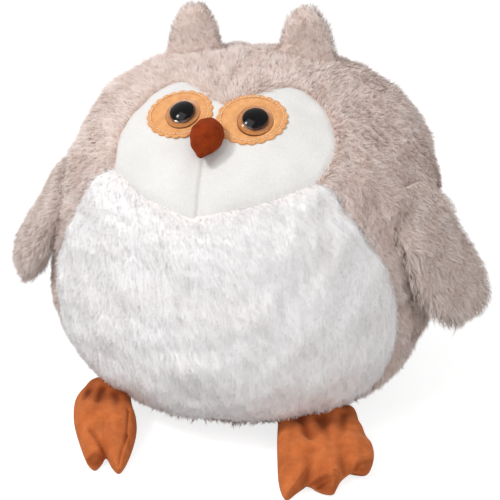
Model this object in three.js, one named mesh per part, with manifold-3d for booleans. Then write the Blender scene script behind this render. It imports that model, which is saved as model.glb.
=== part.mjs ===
// Stuffed plush owl: a round sewn body with a recessed heart-shaped face, two wings, two ears,
// two velour feet, a velour beak and a pair of safety eyes on scalloped suede patches.
// Millimetres, +Z up, the owl faces -Y and its own left side is +X.
// The origin is the centre of the flat patch that the body sits on.

import * as THREE from 'three';
import { mergeVertices } from 'three/addons/utils/BufferGeometryUtils.js';
import Module from 'manifold-3d';

const wasm = await Module();
wasm.setup();

// Gap between neighbouring pieces, and how far a cutting solid runs past what it cuts
const clearance = 0.3;
const overrun = 30;

// Body: a squashed ball whose top leans back, standing on a small flat patch
const body = {
  halfWidth: 149,
  halfDepth: 139,
  halfHeight: 128,
  crownFullnessShare: 2.42,
  baseFullnessShare: 3.4,
  leanBack: 25,
  leanEaseShare: 0.5,
  plushThickness: 14,
  restDepth: 0.5,
  shellColumnCount: 28,
  shellRowCount: 14,
  coreColumnCount: 16,
  coreRowCount: 8,
};

// Face: a heart of short pile, sunk below the long pile round it, dipping at the beak between two cheeks
const face = {
  recess: 4.5,
  middleAngle: 42,
  halfSpanAngle: 41,
  halfRiseAngle: 26,
  socketDepth: 5,
  socketAngle: 43,
  socketSpanAngle: 20,
  socketRiseAngle: 12,
  cheekSwell: 3,
  cheekAngle: 29,
  cheekSideAngle: 16,
  cheekSpanAngle: 11,
  columnCount: 36,
  rowCount: 20,
};

// Heart outline from the notch down to the chin, as shares of the face's half span and half rise
const heartShares = [
  [0, 0.69], [0.24, 0.85], [0.51, 0.96], [0.73, 1], [0.9, 0.9], [0.98, 0.69], [1, 0.42], [0.98, 0.15],
  [0.92, -0.13], [0.78, -0.44], [0.61, -0.58], [0.3, -0.71], [0, -0.85],
];

// Seams of the body, as angles round from the front and up from the middle
const seams = {
  bellyMiddleAngle: -15,
  bellySideAngle: 59,
  bellyRiseAngle: 46,
  baseAngle: -56,
  shoulderFrontAngle: 31,
  shoulderBackAngle: 16,
  shoulderDropShare: 0.8,
  reachShare: 2.5,
  ringCount: 20,
};

// Belly outline from under the face down to its lower edge, as shares of its side and rise angles
const bellyShares = [
  [0, 0.87], [0.52, 0.99], [0.68, 0.74], [0.84, 0.41], [0.95, 0.13], [1, -0.18], [0.99, -0.5],
  [0.93, -0.82], [0.8, -0.98], [0, -1.04],
];

// Wings: thick mitts sewn into the shoulder seam, hanging down and turned a little to the front
const wing = {
  sideAngle: 68,
  riseAngle: 16,
  seamOut: 1.5,
  rootRadius: 8,
  rootHalfLength: 40,
  length: 93,
  halfWidth: 38,
  halfThickness: 11,
  slantAngle: 5,
  sweepAngle: 8,
  twistAngle: 23,
  plushThickness: 5,
};

// Wing sections: along, half width and half thickness, as shares of the wing's own sizes
const wingShares = [
  [0, 0.86, 0.7], [0.14, 0.93, 0.82], [0.34, 0.99, 0.96], [0.58, 1, 1], [0.78, 0.96, 0.9],
  [0.91, 0.82, 0.7], [0.98, 0.56, 0.4],
];

// Ears: short rounded tufts sewn across the crown
const ear = {
  out: 45,
  back: 4,
  seamOut: 3.5,
  rootRadius: 8,
  rootHalfLength: 24,
  length: 32,
  halfWidth: 21,
  halfThickness: 9,
  inwardAngle: 16,
  plushThickness: 4,
};

const earShares = [
  [0, 0.97, 0.85], [0.28, 0.93, 1], [0.55, 0.8, 1], [0.8, 0.58, 0.78], [0.95, 0.34, 0.44],
];

// Feet: flat velour paws with three toes, gathered into the seam between belly and base
const foot = {
  sideAngle: 40,
  seamOut: 3,
  rootRadius: 7,
  top: 11,
  sole: 8,
  toeHeight: 3,
  neckShare: 0.62,
  neckLengthShare: 0.45,
  pillowShare: 2.4,
  velourThickness: 2,
  raiseAngle: 25,
};

// Each foot lies its own way: its size, its seam, and how far its toes turn towards the other foot
const footLeft = {
  length: 68,
  halfWidth: 34,
  rootHalfLength: 24,
  rootShare: 0.72,
  toeInAngle: 19,
};

const footRight = {
  length: 73,
  halfWidth: 24,
  rootHalfLength: 18,
  rootShare: 0.48,
  toeInAngle: 52,
};

// Paw outline from its gathered root right round, as shares of half width and length
const pawRootShares = [-0.3, 0];
const pawShares = [
  [0.9, 0.18], [0.98, 0.42], [1.01, 0.7], [0.92, 0.94], [0.7, 0.87], [0.46, 0.78],
  [0.28, 0.9], [0.04, 1.02], [-0.2, 0.9], [-0.42, 0.78], [-0.66, 0.82], [-0.88, 0.8], [-1, 0.62],
  [-0.98, 0.4], [-0.9, 0.18],
];

// The stuffed hollow of a paw, which stops short of the toes and of the gathered root
const hollowShares = [
  [0.4, 0.17], [0.8, 0.32], [0.86, 0.55], [0.62, 0.76], [0, 0.79], [-0.62, 0.72], [-0.84, 0.5],
  [-0.78, 0.3], [-0.4, 0.17],
];

// Paw rings from the middle of the sole over the edge to the middle of the top, as shares of the outline
const pawRingShares = [0.55, 0.88, 1, 0.88, 0.55];
const hollowRingShares = [0.7, 1, 0.7];

// Beak: a stuffed drop that lies on the face and lifts at its tip
const beak = {
  angle: 46.5,
  aside: -4,
  above: 11,
  below: 21,
  middleOut: 4.5,
  tipOut: 11,
  halfWidth: 11.5,
  halfThickness: 9.5,
  velourThickness: 2,
};

const beakShares = [
  [0, 0.36, 0.36], [0.1, 0.7, 0.7], [0.3, 1, 1], [0.52, 0.96, 0.94], [0.74, 0.68, 0.64], [0.92, 0.3, 0.28],
];

// Eyes: a suede patch, then a turned disc on a stem, a black pupil and a clear dome, locked by a washer
const eye = {
  sideAngle: 15,
  riseAngle: 53.4,
  patchHalfWidth: 24.5,
  patchHalfHeight: 21.5,
  patchThickness: 1.4,
  scallopDepth: 1.4,
  scallopCount: 22,
  scallopStepCount: 2,
  discRadius: 12.4,
  discThickness: 1.4,
  domeStepCount: 5,
  pupilStepCount: 3,
  stemRadius: 3,
  stemLength: 15,
  pupilRadius: 7.9,
  pupilHeight: 2.8,
  domeHeight: 4.6,
  washerRadius: 10,
  washerThickness: 2,
  washerDepth: 5.5,
  roundCount: 16,
};

// Round sections of limbs and seams, and the steps of a limb's own seam
const sectionFullnessShare = 2.3;
const sectionCount = 10;
const rollStationCount = 4;
const rollFullnessShare = 3;
const slabStepCount = 3;
const raiseStepCount = 2;

// Where a limb's root is rounded into its groove, as angles about the seam
const rootAngles = [65, 30];

// Angle step for reading a surface's tangents
const tangentStepAngle = 0.5;

const colours = {
  taupe: '#cdbfb5',
  wingTaupe: '#bfaea3',
  white: '#efedeb',
  faceWhite: '#f2f1ef',
  suede: '#e2a56c',
  rust: '#c26a38',
  beakRust: '#8a3f17',
  stuffing: '#f5f4f2',
  black: '#0c0a0c',
  amber: '#8a5a36',
  clear: '#e8edf0',
  nylon: '#e9e6df',
};

// Angles and vectors
const radians = THREE.MathUtils.degToRad;
const along = (origin, direction, distance) => origin.clone().addScaledVector(direction, distance);

// Solids
function solidFrom(points, triangles) {
  const vertProperties = new Float32Array(points.flatMap((point) => [point.x, point.y, point.z]));
  const triVerts = new Uint32Array(triangles.flat());
  return new wasm.Manifold(new wasm.Mesh({ numProp: 3, vertProperties, triVerts }));
}

// A closed body through rings of points that run anticlockwise seen from the last ring
function ringSolid(rings, firstPole, lastPole) {
  const count = rings[0].length;
  const points = rings.flat().concat([firstPole, lastPole]);
  const first = points.length - 2;
  const last = points.length - 1;
  const topRow = (rings.length - 1) * count;
  const triangles = [];
  for (let i = 0; i < count; i += 1) {
    const next = (i + 1) % count;
    for (let row = 0; row < topRow; row += count) {
      triangles.push([row + i, row + next, row + count + next]);
      triangles.push([row + i, row + count + next, row + count + i]);
    }
    triangles.push([first, next, i]);
    triangles.push([last, topRow + i, topRow + next]);
  }
  return solidFrom(points, triangles);
}

function middleOf(ring) {
  const sum = new THREE.Vector3();
  ring.forEach((point) => sum.add(point));
  return sum.divideScalar(ring.length);
}

function geometryOf(solid) {
  const mesh = solid.getMesh();
  const geometry = new THREE.BufferGeometry();
  const positions = new Float32Array((mesh.vertProperties.length / mesh.numProp) * 3);
  for (let i = 0; i < positions.length / 3; i += 1) {
    positions.set(mesh.vertProperties.slice(i * mesh.numProp, i * mesh.numProp + 3), i * 3);
  }
  geometry.setAttribute('position', new THREE.BufferAttribute(positions, 3));
  geometry.setIndex(new THREE.BufferAttribute(new Uint32Array(mesh.triVerts), 1));
  const merged = mergeVertices(geometry);
  merged.computeVertexNormals();
  return merged;
}

// The same solid on the owl's other side
function mirrored(solid) {
  const mesh = solid.getMesh();
  const vertProperties = mesh.vertProperties.slice();
  const triVerts = mesh.triVerts.slice();
  for (let i = 0; i < vertProperties.length; i += mesh.numProp) {
    vertProperties[i] = -vertProperties[i];
  }
  for (let i = 0; i < triVerts.length; i += 3) {
    const swapped = triVerts[i];
    triVerts[i] = triVerts[i + 1];
    triVerts[i + 1] = swapped;
  }
  return new wasm.Manifold(new wasm.Mesh({ numProp: mesh.numProp, vertProperties, triVerts }));
}

// The same solid turned about an axis through a frame's origin
function swung(solid, frame, axis, angle) {
  const mesh = solid.getMesh();
  const { numProp, triVerts } = mesh;
  const vertProperties = mesh.vertProperties.slice();
  for (let i = 0; i < vertProperties.length; i += numProp) {
    const point = new THREE.Vector3().fromArray(vertProperties, i).sub(frame.origin);
    point.applyAxisAngle(axis, angle).add(frame.origin).toArray(vertProperties, i);
  }
  return new wasm.Manifold(new wasm.Mesh({ numProp, vertProperties, triVerts }));
}

function boxSolid(low, high) {
  const size = high.clone().sub(low);
  const box = new THREE.BoxGeometry(size.x, size.y, size.z);
  const middle = low.clone().add(high).divideScalar(2);
  box.translate(middle.x, middle.y, middle.z);
  box.deleteAttribute('normal');
  box.deleteAttribute('uv');
  const merged = mergeVertices(box);
  const vertProperties = new Float32Array(merged.attributes.position.array);
  const triVerts = new Uint32Array(merged.index.array);
  return new wasm.Manifold(new wasm.Mesh({ numProp: 3, vertProperties, triVerts }));
}

// Body surface
const bodyCentre = new THREE.Vector3(
  0,
  body.leanBack * (1 - body.leanEaseShare),
  body.halfHeight - body.restDepth,
);

// How far a level of the body is moved back by its lean, level running from -1 at the foot to 1 at the crown
function leanAt(level) {
  const ease = level < 0 ? 1 - body.leanEaseShare * level * level : 1;
  return body.leanBack * level * ease;
}

// A point of the body, turned round from the front, at a level, and so deep under the pile
function bodyPoint(turn, level, depth) {
  const fullness = level < 0 ? body.baseFullnessShare : body.crownFullnessShare;
  const ring = (1 - Math.abs(level) ** fullness) ** (1 / fullness);
  const shrink = 1 - depth / body.halfHeight;
  return new THREE.Vector3(
    (body.halfWidth - depth) * ring * Math.sin(turn),
    -(body.halfDepth - depth) * ring * Math.cos(turn) + leanAt(level) * shrink,
    (body.halfHeight - depth) * level,
  ).add(bodyCentre);
}

// How deep the face lies under the long pile in a direction
function faceDepth(turn, level) {
  const rise = Math.asin(level);
  const side = Math.abs(turn);
  const bell = (x, y) => Math.exp(-x * x - y * y);
  const socket = bell(
    turn / radians(face.socketSpanAngle),
    (rise - radians(face.socketAngle)) / radians(face.socketRiseAngle),
  );
  const cheek = bell(
    (side - radians(face.cheekSideAngle)) / radians(face.cheekSpanAngle),
    (rise - radians(face.cheekAngle)) / radians(face.cheekSpanAngle),
  );
  return face.recess + face.socketDepth * socket - face.cheekSwell * cheek;
}

// A closed form of the whole body whose pile is so deep in each direction
function bodyForm(columnCount, rowCount, depthAt) {
  const rings = [];
  for (let row = 1; row < rowCount; row += 1) {
    const climb = -Math.PI / 2 + (Math.PI * row) / rowCount;
    const fullness = climb < 0 ? body.baseFullnessShare : body.crownFullnessShare;
    const level = Math.sign(climb) * Math.abs(Math.sin(climb)) ** (2 / fullness);
    const ring = [];
    for (let column = 0; column < columnCount; column += 1) {
      const turn = -Math.PI + (2 * Math.PI * column) / columnCount;
      ring.push(bodyPoint(turn, level, depthAt(turn, level)));
    }
    rings.push(ring);
  }
  return ringSolid(rings, bodyPoint(0, -1, depthAt(0, -1)), bodyPoint(0, 1, depthAt(0, 1)));
}

const plushForm = (depth) => bodyForm(body.shellColumnCount, body.shellRowCount, () => depth);
const coreForm = (depth) => bodyForm(body.coreColumnCount, body.coreRowCount, () => depth);
const faceForm = (raise) => bodyForm(
  face.columnCount,
  face.rowCount,
  (turn, level) => faceDepth(turn, level) - raise,
);

// Seams: a cone from the body's centre through an outline on its surface
function seamCone(directions, middle, growth) {
  const surface = directions.map(([turn, rise]) => bodyPoint(turn, Math.sin(rise), 0).sub(bodyCentre));
  const ring = surface.map((point, i) => {
    const before = surface[(i + surface.length - 1) % surface.length];
    const after = surface[(i + 1) % surface.length];
    const outward = after.clone().sub(before).cross(point).normalize();
    return along(point, outward, growth).multiplyScalar(seams.reachShare).add(bodyCentre);
  });
  const cap = bodyPoint(middle[0], Math.sin(middle[1]), 0).sub(bodyCentre);
  return ringSolid([ring], bodyCentre, cap.multiplyScalar(seams.reachShare).add(bodyCentre));
}

// A closed outline from one half of it, listed from the top down
function bothSides(half) {
  const left = half.map(([turn, rise]) => [-turn, rise]);
  const right = half.slice(1, -1).reverse();
  return left.concat(right);
}

function faceCone(growth) {
  const half = heartShares.map(([side, rise]) => [
    radians(face.halfSpanAngle * side),
    radians(face.middleAngle + face.halfRiseAngle * rise),
  ]);
  return seamCone(bothSides(half), [0, radians(face.middleAngle)], growth);
}

function bellyCone(growth) {
  const half = bellyShares.map(([side, rise]) => [
    radians(seams.bellySideAngle * side),
    radians(seams.bellyMiddleAngle + seams.bellyRiseAngle * rise),
  ]);
  return seamCone(bothSides(half), [0, radians(seams.bellyMiddleAngle)], growth);
}

function baseCone(growth) {
  const directions = [];
  for (let i = 0; i < seams.ringCount; i += 1) {
    directions.push([(-2 * Math.PI * i) / seams.ringCount, radians(seams.baseAngle)]);
  }
  return seamCone(directions, [0, -Math.PI / 2], growth);
}

// The shoulder seam runs from the face's corners over the wing roots and level round the back
function shoulderCone(growth) {
  const directions = [];
  for (let i = 0; i < seams.ringCount; i += 1) {
    const turn = -Math.PI + (2 * Math.PI * i) / seams.ringCount;
    const drop = Math.sin(Math.abs(turn) / 2) ** seams.shoulderDropShare;
    const rise = THREE.MathUtils.lerp(seams.shoulderFrontAngle, seams.shoulderBackAngle, drop);
    directions.push([turn, radians(rise)]);
  }
  return seamCone(directions, [0, Math.PI / 2], growth);
}

// Everything on the owl's left of its middle seam
function leftHalf() {
  const reach = body.halfWidth + body.halfHeight + overrun;
  return boxSolid(new THREE.Vector3(clearance / 2, -reach, -reach), new THREE.Vector3(reach, reach, reach * 2));
}

function ground() {
  const reach = body.halfWidth + body.halfHeight + overrun;
  return boxSolid(new THREE.Vector3(-reach, -reach, -overrun), new THREE.Vector3(reach, reach, 0));
}

// Frames: an origin with right-handed axes x, y and z
function frameFrom(origin, normal, acrossHint) {
  const z = normal.clone().normalize();
  const x = acrossHint.clone().addScaledVector(z, -acrossHint.dot(z)).normalize();
  return { origin, x, y: z.clone().cross(x), z };
}

// The frame of a surface in a direction: x round the body, y up along it, z out of it
function surfaceFrame(pointAt, turn, rise) {
  const step = radians(tangentStepAngle);
  const across = pointAt(turn + step, rise).sub(pointAt(turn - step, rise));
  const upward = pointAt(turn, rise + step).sub(pointAt(turn, rise - step));
  return frameFrom(pointAt(turn, rise), across.clone().cross(upward), across);
}

const plushPointAt = (turn, rise) => bodyPoint(turn, Math.sin(rise), 0);
const facePointAt = (turn, rise) => bodyPoint(turn, Math.sin(rise), faceDepth(turn, Math.sin(rise)));

function placed(frame, x, y, z) {
  return along(along(along(frame.origin, frame.x, x), frame.y, y), frame.z, z);
}

const turned = (frame, axis, angle) => ({
  origin: frame.origin,
  x: frame.x.clone().applyAxisAngle(axis, angle),
  y: frame.y.clone().applyAxisAngle(axis, angle),
  z: frame.z.clone().applyAxisAngle(axis, angle),
});

// A round seam roll about a frame's x axis, the shape in which a limb turns in its groove
function rollForm(frame, halfLength, radius) {
  const rings = [];
  for (let station = 1; station < rollStationCount; station += 1) {
    const share = -Math.cos((Math.PI * station) / rollStationCount);
    const size = radius * (1 - Math.abs(share) ** rollFullnessShare) ** (1 / rollFullnessShare);
    const ring = [];
    for (let i = 0; i < sectionCount; i += 1) {
      const angle = (2 * Math.PI * i) / sectionCount;
      ring.push(placed(frame, halfLength * share, size * Math.cos(angle), size * Math.sin(angle)));
    }
    rings.push(ring);
  }
  return ringSolid(rings, placed(frame, -halfLength, 0, 0), placed(frame, halfLength, 0, 0));
}

const signedPower = (value, power) => Math.sign(value) * Math.abs(value) ** power;

// A stuffed form through sections along a line, wide along x and thick along y of each station's frame
function loftForm(stationAt, shares, halfWidth, halfThickness) {
  const rings = shares.map(([share, wide, thick]) => {
    const frame = stationAt(share);
    const ring = [];
    for (let i = 0; i < sectionCount; i += 1) {
      const angle = (2 * Math.PI * i) / sectionCount;
      const x = halfWidth * wide * signedPower(Math.cos(angle), 2 / sectionFullnessShare);
      const y = halfThickness * thick * signedPower(Math.sin(angle), 2 / sectionFullnessShare);
      ring.push(placed(frame, x, y, 0));
    }
    return ring;
  });
  return ringSolid(rings, middleOf(rings[0]), middleOf(rings[rings.length - 1]));
}

// A limb's stuffed form, its root rounded about the seam roll's axis
function limbForm(stationAt, size, shares, inset) {
  const width = size.halfWidth - inset;
  const thickness = size.halfThickness - inset;
  const radius = (size.rootRadius - inset) * Math.cos(Math.PI / sectionCount);
  const roots = rootAngles.map((angle) => [
    (-radius * Math.sin(radians(angle))) / size.length,
    (shares[0][1] * (1 - Math.sin(radians(angle)) ** rollFullnessShare)) ** (1 / rollFullnessShare),
    (radius * Math.cos(radians(angle))) / thickness,
  ]);
  return loftForm(stationAt, roots.concat(shares), width, thickness);
}

// What a limb may fill: all but the body, with its seam roll's groove left open
function seated(form, frame, size, inset) {
  const roll = rollForm(frame, size.rootHalfLength - inset, size.rootRadius - inset);
  return form.subtract(plushForm(-clearance - inset).subtract(roll));
}

// The half of space on one side of a limb's seam, y running from low to high in each station's frame
function seamSlab(stationAt, fromShare, toShare, halfWidth, low, high) {
  const rings = [];
  for (let step = 0; step <= slabStepCount; step += 1) {
    const frame = stationAt(fromShare + ((toShare - fromShare) * step) / slabStepCount);
    rings.push([
      placed(frame, -halfWidth, low, 0),
      placed(frame, halfWidth, low, 0),
      placed(frame, halfWidth, high, 0),
      placed(frame, -halfWidth, high, 0),
    ]);
  }
  return ringSolid(rings, middleOf(rings[0]), middleOf(rings[slabStepCount]));
}

// Wing
const wingSeat = (() => {
  const frame = surfaceFrame(plushPointAt, radians(wing.sideAngle), radians(wing.riseAngle));
  return { ...frame, origin: placed(frame, 0, 0, wing.seamOut) };
})();

function wingStation(length) {
  const down = wingSeat.y.clone().negate();
  const slanted = down.applyAxisAngle(wingSeat.x, -radians(wing.slantAngle));
  const direction = slanted.applyAxisAngle(wingSeat.z, radians(wing.sweepAngle));
  return (share) => {
    const twist = -radians(wing.twistAngle) * Math.min(Math.max(share, 0), 1);
    return {
      origin: along(wingSeat.origin, direction, length * share),
      x: wingSeat.x.clone().applyAxisAngle(direction, -twist),
      y: wingSeat.z.clone().applyAxisAngle(direction, -twist),
      z: direction,
    };
  };
}

function wingForm(inset) {
  const station = wingStation(wing.length - inset);
  return seated(limbForm(station, wing, wingShares, inset), wingSeat, wing, inset);
}

// A sewn skin in two panels about its stuffing
function stuffedPair(formAt, thickness, upperSlab, lowerSlab) {
  const skin = formAt(0).subtract(formAt(thickness));
  return {
    upper: skin.intersect(upperSlab),
    lower: skin.intersect(lowerSlab),
    filling: formAt(thickness + clearance),
  };
}

function wingPieces() {
  const reach = wing.halfWidth + overrun;
  const behind = -(wing.rootRadius + overrun) / wing.length;
  const past = 1 + overrun / wing.length;
  const station = wingStation(wing.length);
  const upper = seamSlab(station, behind, past, reach, clearance / 2, wing.halfThickness + overrun);
  const lower = seamSlab(station, behind, past, reach, -wing.halfThickness - overrun, -clearance / 2);
  return stuffedPair(wingForm, wing.plushThickness, upper, lower);
}

// Ear
const earSeat = (() => {
  const turn = Math.PI / 2 + Math.asin(ear.back / body.halfDepth);
  const ring = ear.out / (body.halfWidth * Math.sin(turn));
  const level = (1 - ring ** body.crownFullnessShare) ** (1 / body.crownFullnessShare);
  const surface = surfaceFrame(plushPointAt, turn, Math.asin(level));
  const frame = frameFrom(surface.origin, surface.z, new THREE.Vector3(1, 0, 0));
  return { ...frame, origin: placed(frame, 0, 0, ear.seamOut) };
})();

function earStation(length) {
  const direction = earSeat.z.clone().applyAxisAngle(earSeat.y, -radians(ear.inwardAngle));
  return (share) => ({
    origin: along(earSeat.origin, direction, length * share),
    x: earSeat.x,
    y: earSeat.y,
    z: direction,
  });
}

function earForm(inset) {
  const station = earStation(ear.length - inset);
  return seated(limbForm(station, ear, earShares, inset), earSeat, ear, inset);
}

function earPieces() {
  const reach = ear.halfWidth + overrun;
  const behind = -(ear.rootRadius + overrun) / ear.length;
  const past = 1 + overrun / ear.length;
  const station = earStation(ear.length);
  const rear = seamSlab(station, behind, past, reach, clearance / 2, ear.halfThickness + overrun);
  const front = seamSlab(station, behind, past, reach, -ear.halfThickness - overrun, -clearance / 2);
  return stuffedPair(earForm, ear.plushThickness, rear, front);
}

// Foot: the hinge lies level along the seam, and the paw slopes from it to the ground
const footSeat = (() => {
  const surface = surfaceFrame(plushPointAt, radians(foot.sideAngle), radians(seams.baseAngle));
  const hinge = placed(surface, 0, 0, foot.seamOut);
  const upright = frameFrom(hinge, new THREE.Vector3(0, 0, 1), surface.x);
  return upright;
})();

// The paw's frame: x to the side, y towards the toes, z out of its top
function pawFrame(size) {
  const level = turned(footSeat, footSeat.z, Math.PI - radians(size.toeInAngle));
  const drop = Math.asin((footSeat.origin.z - foot.toeHeight) / size.length);
  return turned(level, level.x, -drop);
}

function pawForm(size, shares, ringShares, inset) {
  const frame = pawFrame(size);
  const shift = size.length / 2;
  const halfLength = size.length / 2 - inset;
  const outline = shares.map(([side, ahead]) => [
    (size.halfWidth - inset) * side,
    halfLength * (2 * ahead - 1),
  ]);
  const thicknessAt = (ahead, share) => {
    const neck = Math.min((ahead + shift) / (size.length * foot.neckLengthShare), 1);
    const pillow = (1 - share ** foot.pillowShare) ** (1 / foot.pillowShare);
    return pillow * THREE.MathUtils.lerp(foot.neckShare, 1, Math.max(neck, 0));
  };
  const middle = (ringShares.length - 1) / 2;
  const rings = ringShares.map((share, i) => outline.map(([side, ahead]) => {
    const swell = thicknessAt(ahead * share, share);
    const height = i < middle ? -(foot.sole - inset) * swell : (foot.top - inset) * swell;
    return placed(frame, side * share, shift + ahead * share, height);
  }));
  const pole = (height) => placed(frame, 0, shift, height * thicknessAt(0, 0));
  return ringSolid(rings, pole(inset - foot.sole), pole(foot.top - inset));
}

// Everything behind a foot's hinge, seen from its toes
function behindFoot(inset) {
  const reach = body.halfWidth;
  const corners = [[-1, -1], [1, -1], [1, 1], [-1, 1]];
  const wall = (ahead) => corners.map(([side, up]) => placed(footSeat, reach * side, ahead, reach * up));
  return ringSolid([wall(reach), wall(-inset)], middleOf(wall(reach)), middleOf(wall(-inset)));
}

// What the body leaves of a foot, from its lying angle to its raised one
function clearOfBody(form, inset) {
  const grown = plushForm(-clearance - inset);
  let rest = form.subtract(behindFoot(inset));
  for (let step = 0; step <= raiseStepCount; step += 1) {
    const angle = (radians(foot.raiseAngle) * step) / raiseStepCount;
    rest = rest.subtract(swung(grown, footSeat, footSeat.x, angle));
  }
  return rest;
}

function footForm(size) {
  const root = pawRootShares.map((ahead) => [size.rootShare, ahead]);
  const otherRoot = pawRootShares.map((ahead) => [-size.rootShare, ahead]).reverse();
  const outline = root.concat(pawShares, otherRoot);
  const roll = rollForm(footSeat, size.rootHalfLength, foot.rootRadius);
  const whole = clearOfBody(pawForm(size, outline, pawRingShares, 0), 0).add(roll);
  return (inset) => {
    if (inset === 0) return whole;
    return clearOfBody(pawForm(size, hollowShares, hollowRingShares, inset), inset);
  };
}

function footPieces(size) {
  const frame = pawFrame(size);
  const station = (share) => ({
    origin: along(frame.origin, frame.y, size.length * share),
    x: frame.x.clone().negate(),
    y: frame.z,
    z: frame.y,
  });
  const reach = size.halfWidth + size.length + overrun;
  const behind = -(size.halfWidth + overrun) / size.length;
  const past = 1 + overrun / size.length;
  const upper = seamSlab(station, behind, past, reach, clearance / 2, foot.top + overrun);
  const lower = seamSlab(station, behind, past, reach, -foot.sole - overrun, -clearance / 2);
  const pieces = stuffedPair(footForm(size), foot.velourThickness, upper, lower);
  const floor = ground();
  return {
    upper: pieces.upper.subtract(floor),
    lower: pieces.lower.subtract(floor),
    filling: pieces.filling.subtract(floor),
  };
}

// Beak
const beakFrame = surfaceFrame(facePointAt, 0, radians(beak.angle));

function beakForm(inset) {
  const top = placed(beakFrame, beak.aside, beak.above - inset, beak.middleOut);
  const tip = placed(beakFrame, beak.aside, inset - beak.below, beak.tipOut);
  const direction = tip.clone().sub(top);
  const station = (share) => ({
    origin: along(top, direction, share),
    x: beakFrame.x,
    y: beakFrame.z,
    z: direction,
  });
  return loftForm(station, beakShares, beak.halfWidth - inset, beak.halfThickness - inset);
}

function beakPieces() {
  const skin = beakForm(0).subtract(beakForm(beak.velourThickness));
  const filling = beakForm(beak.velourThickness + clearance);
  return {
    cover: skin.subtract(faceForm(clearance)),
    filling: filling.subtract(faceForm(clearance)),
  };
}

// Eyes, each about the axis that stands on the face where the eye sits
const eyeFrame = surfaceFrame(facePointAt, radians(eye.sideAngle), radians(eye.riseAngle));
const eyeSeat = {
  ...eyeFrame,
  origin: placed(eyeFrame, 0, 0, clearance + eye.patchThickness + clearance),
};

// A turned piece through radius and height pairs, from its first pole or cap to its last
function turnedSolid(frame, profile, firstHeight, lastHeight) {
  const rings = profile.map(([radius, height]) => {
    const ring = [];
    for (let i = 0; i < eye.roundCount; i += 1) {
      const angle = (2 * Math.PI * i) / eye.roundCount;
      ring.push(placed(frame, radius * Math.cos(angle), radius * Math.sin(angle), height));
    }
    return ring;
  });
  return ringSolid(rings, placed(frame, 0, 0, firstHeight), placed(frame, 0, 0, lastHeight));
}

function cylinderSolid(frame, radius, low, high) {
  return turnedSolid(frame, [[radius, low], [radius, high]], low, high);
}

// Quarter of a dome: radius and height pairs from its rim to just below its top
function domeProfile(radius, height, base, stepCount) {
  const profile = [];
  for (let step = 0; step < stepCount; step += 1) {
    const angle = (Math.PI * step) / (2 * stepCount);
    profile.push([radius * Math.cos(angle), base + height * Math.sin(angle)]);
  }
  return profile;
}

function patchCutter() {
  const count = eye.scallopCount * eye.scallopStepCount;
  const ringAt = (height) => {
    const ring = [];
    for (let i = 0; i < count; i += 1) {
      const angle = (2 * Math.PI * i) / count;
      const lobe = Math.abs(Math.sin((angle * eye.scallopCount) / 2));
      const inset = eye.scallopDepth * (1 - lobe);
      const x = (eye.patchHalfWidth - inset) * Math.cos(angle);
      const y = (eye.patchHalfHeight - inset) * Math.sin(angle);
      ring.push(placed(eyeFrame, x, y, height));
    }
    return ring;
  };
  const low = ringAt(-eye.patchHalfWidth);
  const high = ringAt(eye.patchHalfWidth);
  return ringSolid([low, high], middleOf(low), middleOf(high));
}

const stemHole = () => cylinderSolid(eyeSeat, eye.stemRadius + clearance, -eye.stemLength - clearance, overrun);

const washerPocket = () => cylinderSolid(
  eyeSeat,
  eye.washerRadius + clearance,
  -eye.washerDepth - eye.washerThickness - clearance,
  -eye.washerDepth + clearance,
);

function eyePieces() {
  const sheet = faceForm(clearance + eye.patchThickness).subtract(faceForm(clearance));
  const patch = sheet.intersect(patchCutter()).intersect(leftHalf());
  const stem = cylinderSolid(eyeSeat, eye.stemRadius, -eye.stemLength, eye.discThickness / 2);
  const disc = cylinderSolid(eyeSeat, eye.discRadius, 0, eye.discThickness);
  const pupilBase = eye.discThickness + clearance;
  const pupil = domeProfile(eye.pupilRadius, eye.pupilHeight, pupilBase, eye.pupilStepCount);
  const hollow = domeProfile(
    eye.pupilRadius + clearance,
    eye.pupilHeight + clearance,
    pupilBase,
    eye.pupilStepCount,
  );
  const dome = domeProfile(eye.discRadius, eye.domeHeight, pupilBase, eye.domeStepCount);
  const washer = cylinderSolid(
    eyeSeat,
    eye.washerRadius,
    -eye.washerDepth - eye.washerThickness,
    -eye.washerDepth,
  );
  return {
    patch: patch.subtract(stemHole()),
    base: disc.add(stem),
    pupil: turnedSolid(eyeSeat, pupil, pupilBase, pupilBase + eye.pupilHeight),
    lens: turnedSolid(
      eyeSeat,
      hollow.reverse().concat(dome),
      pupilBase + eye.pupilHeight + clearance,
      pupilBase + eye.domeHeight,
    ),
    washer: washer.subtract(stemHole()),
  };
}

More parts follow.
